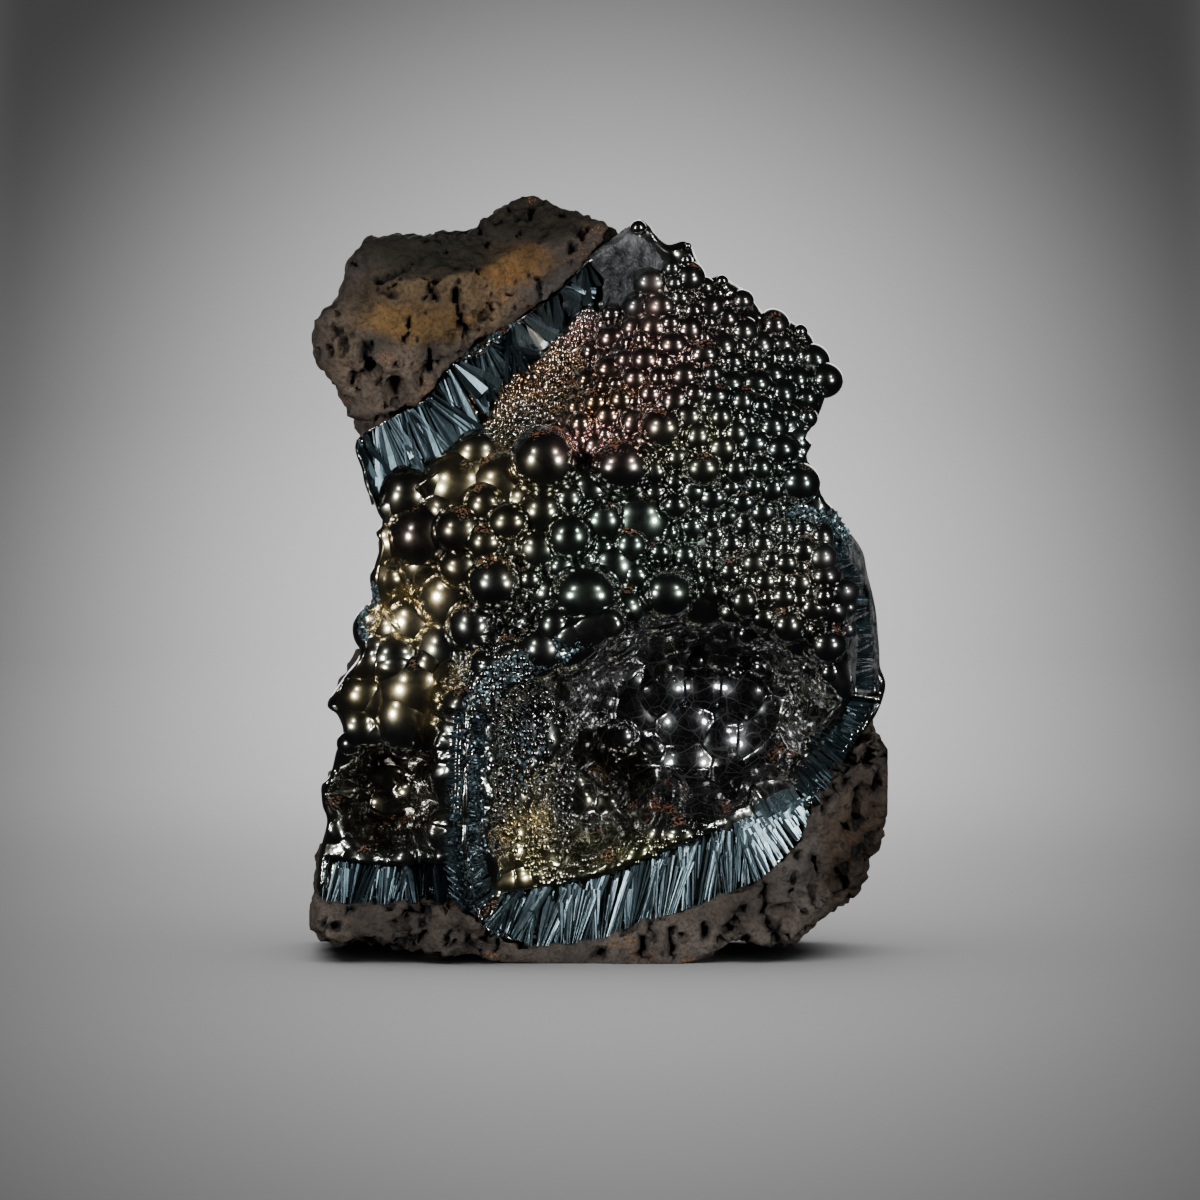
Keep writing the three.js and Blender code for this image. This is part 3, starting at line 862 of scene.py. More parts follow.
def finish_piece(piece: bpy.types.Object, layer: Layer, *materials: bpy.types.Material) -> bpy.types.Object:
    """Give a piece its materials and body, hide the solid that it stands for, and hand it back.

    Args:
        piece: the piece.
        layer: what it is made of.
        materials: its materials, in their order.

    Returns:
        The piece.
    """
    for material in materials:
        piece.data.materials.append(material)
    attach(piece, "root")
    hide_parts(layer.node)
    LOG.info("%s: %d faces", piece.name, len(piece.data.polygons))
    return piece


class Nodes:
    """A material's node tree, built by short calls."""

    def __init__(self, name: str) -> None:
        """Start an empty material with a Principled shader."""
        self.material = bpy.data.materials.new(name)
        self.material.use_nodes = True
        self.tree = self.material.node_tree
        self.shader = self.tree.nodes["Principled BSDF"]
        self.place = self.add("ShaderNodeTexCoord").outputs["Object"]

    def add(self, kind: str, **settings: object) -> bpy.types.Node:
        """Add a node and set its own settings.

        Args:
            kind: the node's type.
            settings: its settings by name.

        Returns:
            The node.
        """
        node = self.tree.nodes.new(kind)
        for key, value in settings.items():
            setattr(node, key, value)
        return node

    def link(self, source: bpy.types.NodeSocket, target: bpy.types.NodeSocket) -> None:
        """Join two sockets."""
        self.tree.links.new(source, target)

    def put(self, socket: bpy.types.NodeSocket, value: object) -> None:
        """Link a socket to another, or set it to a plain value.

        Args:
            socket: an input.
            value: an output or a plain value.
        """
        if isinstance(value, bpy.types.NodeSocket):
            self.link(value, socket)
        else:
            socket.default_value = value

    def attribute(self, name: str) -> bpy.types.NodeSocket:
        """Colour of an attribute of the mesh."""
        return self.add("ShaderNodeAttribute", attribute_name=name).outputs["Color"]

    def upward(self) -> bpy.types.NodeSocket:
        """How far the surface faces up, from -1 to 1.

        Returns:
            A socket.
        """
        split = self.add("ShaderNodeSeparateXYZ")
        self.link(self.add("ShaderNodeNewGeometry").outputs["Normal"], split.inputs["Vector"])
        return split.outputs["Z"]

    def stretched(self, scale: tuple[float, float, float],
                  middle: tuple[float, float, float] = (0.0, 0.0, 0.0)) -> bpy.types.NodeSocket:
        """The object's coordinates, counted from a middle and stretched along its axes.

        Args:
            scale: stretch along each axis.
            middle: where they are 0.

        Returns:
            A socket.
        """
        node = self.add("ShaderNodeMapping")
        node.inputs["Location"].default_value = tuple(-m * s for m, s in zip(middle, scale))
        node.inputs["Scale"].default_value = scale
        self.link(self.place, node.inputs["Vector"])
        return node.outputs["Vector"]

    def wavering(self, scale: float, amount: float) -> bpy.types.NodeSocket:
        """The object's coordinates, pushed about by noise of an amount in metres.

        Args:
            scale: the noise's scale.
            amount: how far it pushes.

        Returns:
            A socket.
        """
        push = self.add("ShaderNodeTexNoise")
        self.link(self.place, push.inputs["Vector"])
        push.inputs["Scale"].default_value = scale
        node = self.add("ShaderNodeVectorMath", operation="MULTIPLY_ADD")
        self.link(push.outputs["Color"], node.inputs[0])
        node.inputs[1].default_value = (amount, amount, amount)
        self.link(self.place, node.inputs[2])
        return node.outputs["Vector"]

    def noise(self, scale: float, detail: float = 3.0, rough: float = 0.55, place: object = None,
              bend: float = 0.0) -> bpy.types.NodeSocket:
        """Noise from 0 to 1.

        Args:
            scale: its scale.
            detail: its octaves.
            rough: their share.
            place: coordinates, or none for the object's.
            bend: distortion.

        Returns:
            A socket.
        """
        node = self.add("ShaderNodeTexNoise")
        self.link(place or self.place, node.inputs["Vector"])
        node.inputs["Scale"].default_value = scale
        node.inputs["Detail"].default_value = detail
        node.inputs["Roughness"].default_value = rough
        node.inputs["Distortion"].default_value = bend
        return node.outputs["Fac"]

    def cells(self, scale: float, feature: str = "F1", place: object = None) -> bpy.types.Node:
        """Voronoi cells.

        Args:
            scale: their scale.
            feature: what is measured.
            place: coordinates, or none for the object's.

        Returns:
            The node.
        """
        node = self.add("ShaderNodeTexVoronoi", feature=feature)
        self.link(place or self.place, node.inputs["Vector"])
        node.inputs["Scale"].default_value = scale
        return node

    def ramp(self, value: bpy.types.NodeSocket, low: float, high: float, start: float = 0.0,
             end: float = 1.0) -> bpy.types.NodeSocket:
        """Carry low..high over to start..end, clamped, with soft ends.

        Args:
            value: what is carried over.
            low: lowest value in.
            high: highest value in.
            start: value out at `low`.
            end: value out at `high`.

        Returns:
            A socket.
        """
        node = self.add("ShaderNodeMapRange", interpolation_type="SMOOTHSTEP")
        self.link(value, node.inputs["Value"])
        for key, number in zip(("From Min", "From Max", "To Min", "To Max"), (low, high, start, end)):
            node.inputs[key].default_value = number
        return node.outputs["Result"]

    def math(self, operation: str, first: object, second: object = 0.0) -> bpy.types.NodeSocket:
        """One sum on two values.

        Args:
            operation: the sum.
            first: a socket or number.
            second: a socket or number.

        Returns:
            A socket.
        """
        node = self.add("ShaderNodeMath", operation=operation)
        self.put(node.inputs[0], first)
        self.put(node.inputs[1], second)
        return node.outputs[0]

    def mix(self, share: object, first: object, second: object, blend: str = "MIX") -> bpy.types.NodeSocket:
        """Mix two colours.

        Args:
            share: share of the second.
            first: a socket or colour.
            second: a socket or colour.
            blend: how they mix.

        Returns:
            A socket.
        """
        node = self.add("ShaderNodeMix", data_type="RGBA", blend_type=blend)
        self.put(node.inputs["Factor"], share)
        for socket, value in ((node.inputs[6], first), (node.inputs[7], second)):
            self.put(socket, (*value, 1.0) if isinstance(value, tuple) else value)
        return node.outputs[2]

    def bump(self, height: object, depth: float, under: object = None) -> bpy.types.NodeSocket:
        """Bend the normal by a height of `depth` metres.

        Args:
            height: height from 0 to 1.
            depth: what 1 stands for.
            under: a normal to build on.

        Returns:
            A socket.
        """
        node = self.add("ShaderNodeBump")
        self.put(node.inputs["Height"], height)
        node.inputs["Distance"].default_value = depth
        node.inputs["Strength"].default_value = 1.0
        if under is not None:
            self.link(under, node.inputs["Normal"])
        return node.outputs["Normal"]

    def set(self, **values: object) -> None:
        """Set or link the shader's sockets; underscores stand for spaces in their names.

        Args:
            values: sockets, numbers or colours by name.
        """
        for key, value in values.items():
            socket = self.shader.inputs[key.replace("_", " ")]
            self.put(socket, (*value, 1.0) if isinstance(value, tuple) and len(value) == 3 else value)


@dataclass(frozen=True)
class BubbleSkinFinish:
    """Near-black metallic skin with thin tarnish and painted shade from its vertex colours, a pale net of fine
    wrinkles and rusty dust on what faces up.
    """

    name: str = "bubble_skin"
    roughness: tuple[float, float] = (0.17, 0.26)
    coat_roughness: float = 0.05
    coat_ior: float = 1.9
    dull_roughness: float = 0.30
    net_cells: tuple[float, float] = (300.0, 620.0)
    net_colour: Colour = (0.030, 0.028, 0.031)
    wave_height: float = 0.00009
    crumb_cells: float = 1100.0
    crumb_height: float = 0.00020
    rust: Colour = (0.16, 0.045, 0.008)
    rust_from: float = 0.62
    mottle_cells: float = 420.0
    mottle: Colour = (0.05, 0.055, 0.05)
    dust_patches: float = 170.0
    dust_grains: float = 2600.0
    dust_upward: tuple[float, float] = (0.35, 0.8)
    wander: tuple[float, float] = (300.0, 0.0012)

    def net(self, nodes: Nodes, wander: bpy.types.NodeSocket) -> bpy.types.NodeSocket:
        """Thin lines of a wavering net, 1 on a line and 0 between the lines.

        Args:
            nodes: the material's nodes.
            wander: pushed coordinates.

        Returns:
            A socket.
        """
        lines = []
        for scale, width in zip(self.net_cells, (0.040, 0.050)):
            edge = nodes.cells(scale, "DISTANCE_TO_EDGE", wander).outputs["Distance"]
            lines.append(nodes.ramp(edge, 0.0, width, 1.0, 0.0))
        return nodes.math("MAXIMUM", lines[0], nodes.math("MULTIPLY", lines[1], 0.45))

    def material(self) -> bpy.types.Material:
        """Build the material.

        Returns:
            The material.
        """
        nodes = Nodes(self.name)
        tarnish = nodes.attribute("tarnish")
        surface = nodes.add("ShaderNodeSeparateColor")
        nodes.link(nodes.attribute("surface"), surface.inputs["Color"])
        folds, dull, crumbly = surface.outputs["Red"], surface.outputs["Green"], surface.outputs["Blue"]
        mottle = nodes.noise(self.mottle_cells, 4.0)
        colour = nodes.mix(nodes.ramp(mottle, 0.35, 0.75, 0.0, 0.35), tarnish, self.mottle)
        patches = nodes.ramp(nodes.noise(self.dust_patches, 2.0), self.rust_from - 0.06, self.rust_from)
        dust = nodes.math("MULTIPLY", patches, nodes.ramp(nodes.noise(self.dust_grains, 2.0), 0.5, 0.62))
        dust = nodes.math("MULTIPLY", dust, nodes.ramp(nodes.upward(), *self.dust_upward))
        net = nodes.math("MULTIPLY", self.net(nodes, nodes.wavering(*self.wander)), folds)
        colour = nodes.mix(net, colour, self.net_colour)
        colour = nodes.mix(dust, colour, self.rust)
        waves = nodes.noise(self.mottle_cells, 2.0, 0.5, bend=0.3)
        normal = nodes.bump(nodes.math("MULTIPLY", waves, nodes.math("ADD", folds, 0.04)), self.wave_height)
        crumbs = nodes.cells(self.crumb_cells, "SMOOTH_F1").outputs["Distance"]
        crumbs = nodes.math("MULTIPLY", nodes.math("SUBTRACT", 1.0, crumbs), crumbly)
        normal = nodes.bump(crumbs, self.crumb_height, under=normal)
        rough = nodes.ramp(mottle, 0.3, 0.7, *self.roughness)
        for share, more in ((folds, 0.03), (dust, 0.5), (net, 0.15), (dull, self.dull_roughness)):
            rough = nodes.math("ADD", rough, nodes.math("MULTIPLY", share, more))
        earthy = nodes.math("MAXIMUM", dust, nodes.math("MULTIPLY", net, 0.6))
        nodes.set(
            Base_Color=colour,
            Metallic=nodes.math("SUBTRACT", 1.0, earthy),
            Roughness=rough,
            Normal=normal,
            Coat_Weight=1.0,
            Coat_Roughness=self.coat_roughness,
            Coat_IOR=self.coat_ior,
            Coat_Normal=normal,
        )
        return nodes.material


@dataclass(frozen=True)
class DullCrustFinish:
    """Dull grey fibrous crust with no gloss, where the skin never formed or has weathered."""

    name: str = "dull_crust"
    dark: Colour = (0.006, 0.007, 0.008)
    light: Colour = (0.075, 0.078, 0.080)
    roughness: float = 0.42
    metallic: float = 0.35
    fibre_cells: float = 620.0
    fibre_stretch: float = 0.22
    fibre_height: float = 0.0016

    def material(self) -> bpy.types.Material:
        """Build the material.

        Returns:
            The material.
        """
        nodes = Nodes(self.name)
        fibres = nodes.noise(self.fibre_cells, 5.0, 0.65, nodes.stretched((1.0, 1.0, self.fibre_stretch)))
        colour = nodes.mix(nodes.ramp(fibres, 0.3, 0.7), self.dark, self.light)
        nodes.set(Base_Color=colour, Metallic=self.metallic, Roughness=self.roughness,
                  Normal=nodes.bump(fibres, self.fibre_height))
        return nodes.material


@dataclass(frozen=True)
class NeedleFinish:
    """Silky blue-grey needles, streaked along their length; the palest are painted near-white as a glint."""

    name: str = "silky_needles"
    dark: Colour = (0.016, 0.028, 0.034)
    light: Colour = (0.17, 0.24, 0.27)
    # painted highlight: near-white that the palest blades turn to
    painted_glint: Colour = (0.80, 0.86, 0.86)
    glint_from: float = 1.0
    glint_span: float = 0.6
    roughness: float = 0.33
    metallic: float = 0.85
    streak_cells: float = 2600.0
    streak_stretch: float = 0.25
    streak_height: float = 0.00003

    def material(self) -> bpy.types.Material:
        """Build the material.

        Returns:
            The material.
        """
        nodes = Nodes(self.name)
        shade = nodes.attribute("shade")
        streaks = nodes.noise(self.streak_cells, 3.0, 0.6, nodes.stretched((1.0, 1.0, self.streak_stretch)))
        share = nodes.math("MULTIPLY", nodes.ramp(streaks, 0.25, 0.7, 0.35, 1.0), shade)
        # painted highlight: share of near-white glint for shades above one
        glint_share = nodes.ramp(shade, self.glint_from, self.glint_from + self.glint_span)
        nodes.set(
            Base_Color=nodes.mix(glint_share, nodes.mix(share, self.dark, self.light), self.painted_glint),
            Metallic=self.metallic,
            Roughness=self.roughness,
            Normal=nodes.bump(streaks, self.streak_height),
        )
        return nodes.material


@dataclass(frozen=True)
class MatrixFinish:
    """Dull porous limonite: brown-grey with ochre bloom and rust specks, with its pits and pores painted
    near-black as shade.
    """

    name: str = "porous_limonite"
    # near-black painted shade for the pits and pores
    shaded_pit: Colour = (0.006, 0.005, 0.005)
    rust: Colour = (0.24, 0.09, 0.018)
    blotch_cells: float = 90.0
    blotch_dark: Colour = (0.52, 0.50, 0.48)
    blotch_light: Colour = (1.4, 1.34, 1.25)
    grain_cells: float = 1500.0
    grain: Colour = (0.02, 0.017, 0.015)
    speck_patches: float = 160.0
    speck_grains: float = 3200.0
    pore_cells: float = 520.0
    pore_fields: float = 130.0
    heights: tuple[float, float, float] = (0.0004, 0.0011, 0.0003)
    roughness: tuple[float, float] = (0.55, 0.9)
    specular: float = 0.2

    def material(self) -> bpy.types.Material:
        """Build the material.

        Returns:
            The material.
        """
        nodes = Nodes(self.name)
        tint = nodes.attribute("tint")
        pits = nodes.attribute("pits")
        blotch = nodes.ramp(nodes.noise(self.blotch_cells, 5.0, 0.6), 0.3, 0.7)
        colour = nodes.mix(1.0, tint, nodes.mix(blotch, self.blotch_dark, self.blotch_light), "MULTIPLY")
        grain = nodes.noise(self.grain_cells, 4.0, 0.65)
        colour = nodes.mix(nodes.ramp(grain, 0.42, 0.72, 0.0, 0.75), colour, self.grain)
        specks = nodes.math("MULTIPLY", nodes.ramp(nodes.noise(self.speck_patches, 3.0), 0.58, 0.70),
                            nodes.ramp(nodes.noise(self.speck_grains, 3.0), 0.54, 0.64))
        colour = nodes.mix(specks, colour, self.rust)
        pores = nodes.cells(self.pore_cells, place=nodes.stretched((1.0, 1.0, 0.7))).outputs["Distance"]
        fields = nodes.ramp(nodes.noise(self.pore_fields, 2.0), 0.50, 0.58, 1.0, 0.0)
        pores = nodes.math("MAXIMUM", nodes.ramp(pores, 0.10, 0.24), fields)
        # painted shade: the pores are painted near-black
        colour = nodes.mix(pores, self.shaded_pit, colour)
        # painted shade: the sunk pits are painted near-black
        colour = nodes.mix(pits, colour, self.shaded_pit)
        pore_height, grit_height, lump_height = self.heights
        normal = nodes.bump(pores, pore_height)
        normal = nodes.bump(nodes.noise(500.0, 6.0, 0.75), grit_height, under=normal)
        normal = nodes.bump(nodes.cells(900.0).outputs["Distance"], lump_height, under=normal)
        nodes.set(Base_Color=colour, Roughness=nodes.ramp(grain, 0.3, 0.7, *self.roughness), Normal=normal,
                  Specular_IOR_Level=self.specular)
        return nodes.material


@dataclass
class CrustSkin:
    """The crust's free surface, its rim and the hidden back that closes it."""

    cells: int = 280
    thickness: float = 8.5
    rounding: float = 1.3
    funnel: tuple[tuple[float, float], ...] = ((0.5, 0.995), (1.0, 0.985))
    cap_share: float = 0.7
    cap_y: float = 14.0
    round_from: float = 0.985
    dull_from: float = 0.5

    def build(self) -> bpy.types.Object:
        """Shape a grid over the outline, then close it round its rim and back.

        Returns:
            The closed skin.
        """
        deselect()
        bpy.ops.mesh.primitive_grid_add(x_subdivisions=self.cells, y_subdivisions=self.cells, size=2.0)
        piece = active_mesh("crust_skin")
        square = points_of(piece) * MM
        x, z, share = CRUST_RIM.from_square(square[:, 0], square[:, 1])
        points = SKIN.surface(x, z, share)
        points[:, 1] += self.rounding * smoothstep(share, self.round_from, 1.0)
        set_points(piece, points)
        front_count = len(points)
        for depth, shrink in self.funnel:
            self.draw_rim_back(piece, shrink, depth * self.thickness)
        self.draw_rim_back(piece, self.cap_share, 0.0, self.cap_y)
        bpy.ops.object.mode_set(mode="EDIT")
        bpy.ops.mesh.edge_face_add()
        bpy.ops.mesh.select_all(action="SELECT")
        bpy.ops.mesh.quads_convert_to_tris(quad_method="BEAUTY", ngon_method="BEAUTY")
        bpy.ops.mesh.normals_make_consistent(inside=False)
        bpy.ops.object.mode_set(mode="OBJECT")
        shade_smooth(piece)
        points = points_of(piece)
        set_colour(piece, "tarnish", Paint.tarnish(points))
        surface = Paint.surface(points)
        set_colour(piece, "surface", surface)
        dull = surface[:, 1]
        dull[front_count:] = 1.0
        self.dull_faces(piece, dull)
        return piece

    def dull_faces(self, piece: bpy.types.Object, dull: np.ndarray) -> None:
        """Give the second material to the triangles with a dull corner.

        Args:
            piece: the skin, all triangles.
            dull: how dull each vertex is.
        """
        corners = np.empty(len(piece.data.loops), dtype=np.int32)
        piece.data.loops.foreach_get("vertex_index", corners)
        dullest = dull[corners].reshape(-1, 3).max(axis=1)
        piece.data.polygons.foreach_set("material_index", (dullest > self.dull_from).astype(np.int32))

    @staticmethod
    def draw_rim_back(piece: bpy.types.Object, shrink: float, back: float, level: float | None = None) -> None:
        """Extrude the open rim, draw it in, and move it back or set it level.

        Args:
            piece: the open skin.
            shrink: share of its distance from the middle that the new rim keeps.
            back: millimetres that it moves back.
            level: y in millimetres that it is set to, where it isn't moved back.
        """
        bpy.ops.object.mode_set(mode="EDIT")
        bpy.ops.mesh.select_mode(type="EDGE")
        bpy.ops.mesh.select_all(action="DESELECT")
        bpy.ops.mesh.select_non_manifold(extend=False, use_wire=False, use_multi_face=False,
                                         use_non_contiguous=False, use_verts=False)
        before = len(piece.data.vertices)
        bpy.ops.mesh.extrude_region_move()
        bpy.ops.object.mode_set(mode="OBJECT")
        middle = CRUST_RIM.middle
        points = points_of(piece)
        new = points[before:]
        new[:, 0] = middle[0] + (new[:, 0] - middle[0]) * shrink
        new[:, 2] = middle[1] + (new[:, 2] - middle[1]) * shrink
        new[:, 1] = new[:, 1] + back if level is None else level
        set_points(piece, points)


@dataclass
class Bubbles:
    """The kidney-like bubbles: the large ones where they are seen, and seeded fields of smaller ones."""

    seed: int = 11
    large: tuple[Spot, ...] = (
        (543, 462, 36), (497, 573, 31), (474, 625, 31), (567, 530, 27), (586, 592, 34), (662, 584, 30),
        (621, 462, 34), (508, 517, 23), (486, 536, 20), (529, 571, 15), (660, 423, 23),
        (699, 462, 22), (716, 414, 15), (792, 477, 20), (755, 405, 13), (707, 373, 14), (657, 375, 14),
        (747, 355, 12), (781, 360, 12), (801, 416, 12), (736, 301, 13), (688, 310, 12), (704, 322, 10),
        (671, 282, 10), (796, 333, 10), (579, 421, 14), (610, 314, 12), (699, 560, 13), (655, 546, 15),
        (707, 512, 14), (729, 565, 17),
        (783, 610, 20), (745, 589, 17), (781, 556, 13), (818, 588, 12), (822, 638, 20), (744, 622, 13),
        (755, 462, 15), (604, 430, 10), (632, 480, 14), (682, 244, 8), (528, 376, 9),
        (636, 228, 8), (716, 280, 9), (640, 338, 10), (816, 762, 18), (672, 498, 18),
    )
    domes: tuple[Spot, ...] = (
        (418, 532, 36), (452, 476, 28), (414, 684, 32), (362, 690, 28), (396, 648, 18), (404, 490, 22),
        (440, 596, 24), (390, 576, 20), (412, 620, 22), (382, 622, 18), (436, 640, 20), (500, 470, 24),
        (640, 510, 26),
        (352, 740, 20), (400, 734, 24), (620, 640, 22), (540, 640, 16), (700, 610, 20),
        (750, 640, 20), (800, 690, 22),
        (478, 446, 18), (588, 478, 18), (610, 560, 20), (520, 610, 18), (660, 620, 20), (790, 640, 18),
        (720, 655, 18),
    )
    dome_flatness: float = 1.7
    zones: tuple[Zone, ...] = (
        Zone("upper right", (705, 395), (128, 142), -35, (8.5, 18), (0.42, 0.72), 0.58, 14000),
        Zone("top", (700, 285), (40, 60), -30, (3.5, 8), (0.35, 0.6), 0.72, 2000),
        Zone("right cluster", (775, 572), (82, 52), 0, (8, 17), (0.5, 0.75), 0.56, 6000),
        Zone("middle", (580, 530), (125, 90), 10, (15, 27), (0.4, 0.6), 0.60, 3000),
        Zone("below the cluster", (770, 640), (90, 40), 0, (7, 14), (0.25, 0.45), 0.78, 1200),
        Zone("golden slope", (540, 372), (96, 36), 42, (2.2, 4.6), (0.4, 0.75), 0.85, 5000),
        Zone("septum", (520, 750), (44, 120), 12, (2.0, 4.6), (0.4, 0.7), 0.85, 6000),
        Zone("lip", (640, 856), (130, 20), 16, (2.0, 4.0), (0.4, 0.7), 0.9, 3000),
    )
    lone: Spot = (621, 731, 20)
    lone_stands_out: float = 1.2
    large_stands_out: float = 1.05
    over_rim: float = 1.12
    nearest: float = -25.1
    palest_dark: float = 0.06
    fine_below: float = 6.0
    large_from: float = 17.0
    small_inside: float = 0.75
    broken_below: float = 0.3
    squash: tuple[float, float] = (0.93, 1.07)
    lump_height: float = 0.03
    surface_share: tuple[float, float, float, float] = (0.15, 0.5, 0.25, 1.0)
    detail: tuple[int, int, int] = (4, 3, 2)

    def build(self) -> list[bpy.types.Object]:
        """Scatter the bubbles and join them by size in three pieces.

        Returns:
            Large, small and fine bubbles.
        """
        rng = np.random.default_rng(self.seed)
        spots = [self.lone] + list(self.large) + list(self.domes)
        outs = [self.lone_stands_out] + [self.large_stands_out] * len(self.large)
        outs += [1.0 - math.sqrt(1.0 - self.dome_flatness ** -2)] * len(self.domes)
        for zone in self.zones:
            for spot in scatter(zone, rng, spots):
                spots.append(spot)
                outs.append(float(rng.uniform(*zone.stands_out)))
        table = np.array(spots)
        outs_table = np.array(outs)
        first_dome = 1 + len(self.large)
        table[first_dome:first_dome + len(self.domes), 2] *= self.dome_flatness
        edged = 1 + len(self.large) + len(self.domes)
        table[:edged, 2] = np.minimum(table[:edged, 2], self.over_rim * self.room(table[:edged]) / VIEW.scale)
        kept = self.on_skin(table)
        table, outs_table = table[kept], outs_table[kept]
        large = table[:, 2] >= self.large_from
        fine = table[:, 2] < self.fine_below
        LOG.info("bubbles: %d large, %d small, %d fine", large.sum(), (~large & ~fine).sum(), fine.sum())
        names = ("crust_bubbles_large", "crust_bubbles_small", "crust_bubbles_fine")
        return [self.join(name, table[chosen], outs_table[chosen], detail, rng)
                for name, chosen, detail in zip(names, (large, ~large & ~fine, fine), self.detail)]

    @staticmethod
    def room(table: np.ndarray) -> np.ndarray:
        """Distance from each bubble's middle to the crust's rim, in millimetres.

        Args:
            table: column, row and radius of each bubble in view pixels.

        Returns:
            One distance for each bubble.
        """
        x, z = VIEW.x(table[:, 0]), VIEW.z(table[:, 1])
        path = CRUST_RIM.path
        return np.min(np.hypot(x[:, None] - path[None, :, 0], z[:, None] - path[None, :, 1]), axis=1)

    def on_skin(self, table: np.ndarray) -> np.ndarray:
        """Whether each bubble lies on whole skin: within the crust's rim, and clear of the broken edge.

        Args:
            table: column, row and radius of each bubble in view pixels.

        Returns:
            True or false for each bubble.
        """
        x, z = VIEW.x(table[:, 0]), VIEW.z(table[:, 1])
        clear = self.room(table) > self.small_inside * table[:, 2] * VIEW.scale
        whole = SKIN.sample(SKIN.broken, x, z) < self.broken_below
        return inside(x, z, CRUST_RIM.path) & whole & (clear | (table[:, 2] >= self.large_from))

    def join(self, name: str, table: np.ndarray, outs: np.ndarray, detail: int,
             rng: np.random.Generator) -> bpy.types.Object:
        """Model one ball, and copy it to every bubble of a size.

        Args:
            name: name of the piece.
            table: column, row and radius of each bubble in view pixels.
            outs: share of each radius that stands out of the skin.
            detail: subdivisions of the ball.
            rng: seeded random numbers.

        Returns:
            One joined mesh of closed balls.
        """
        deselect()
        bpy.ops.mesh.primitive_ico_sphere_add(subdivisions=detail, radius=1.0)
        ball = active_mesh("ball")
        unit = points_of(ball) * MM
        corners = np.array([list(face.vertices) for face in ball.data.polygons])
        bpy.data.objects.remove(ball)
        x, z = VIEW.x(table[:, 0]), VIEW.z(table[:, 1])
        radius = table[:, 2] * VIEW.scale
        centres = np.stack([x, SKIN.sample(SKIN.base, x, z) - 0.1, z], axis=1)
        normals = SKIN.sample(SKIN.normal, x, z)
        normals /= np.linalg.norm(normals, axis=1, keepdims=True)
        centres += normals * (SKIN.sample(SKIN.level, x, z) - radius * (1.0 - outs))[:, None]
        centres[:, 1] = np.maximum(centres[:, 1], self.nearest + radius)
        copies = []
        for centre, size in zip(centres, radius):
            squash = size * rng.uniform(*self.squash, 3)
            lumps = 1.0 + self.lump_height * lattice_noise(unit + centre, 0.9, 31)
            copies.append(centre + unit * squash * lumps[:, None])
        piece = joined_copies(name, copies, corners)
        points = np.concatenate(copies)
        shade_smooth(piece)
        set_colour(piece, "tarnish", np.maximum(Paint.tarnish(points), self.palest_dark))
        set_colour(piece, "surface", Paint.surface(points) * np.array(self.surface_share))
        return piece


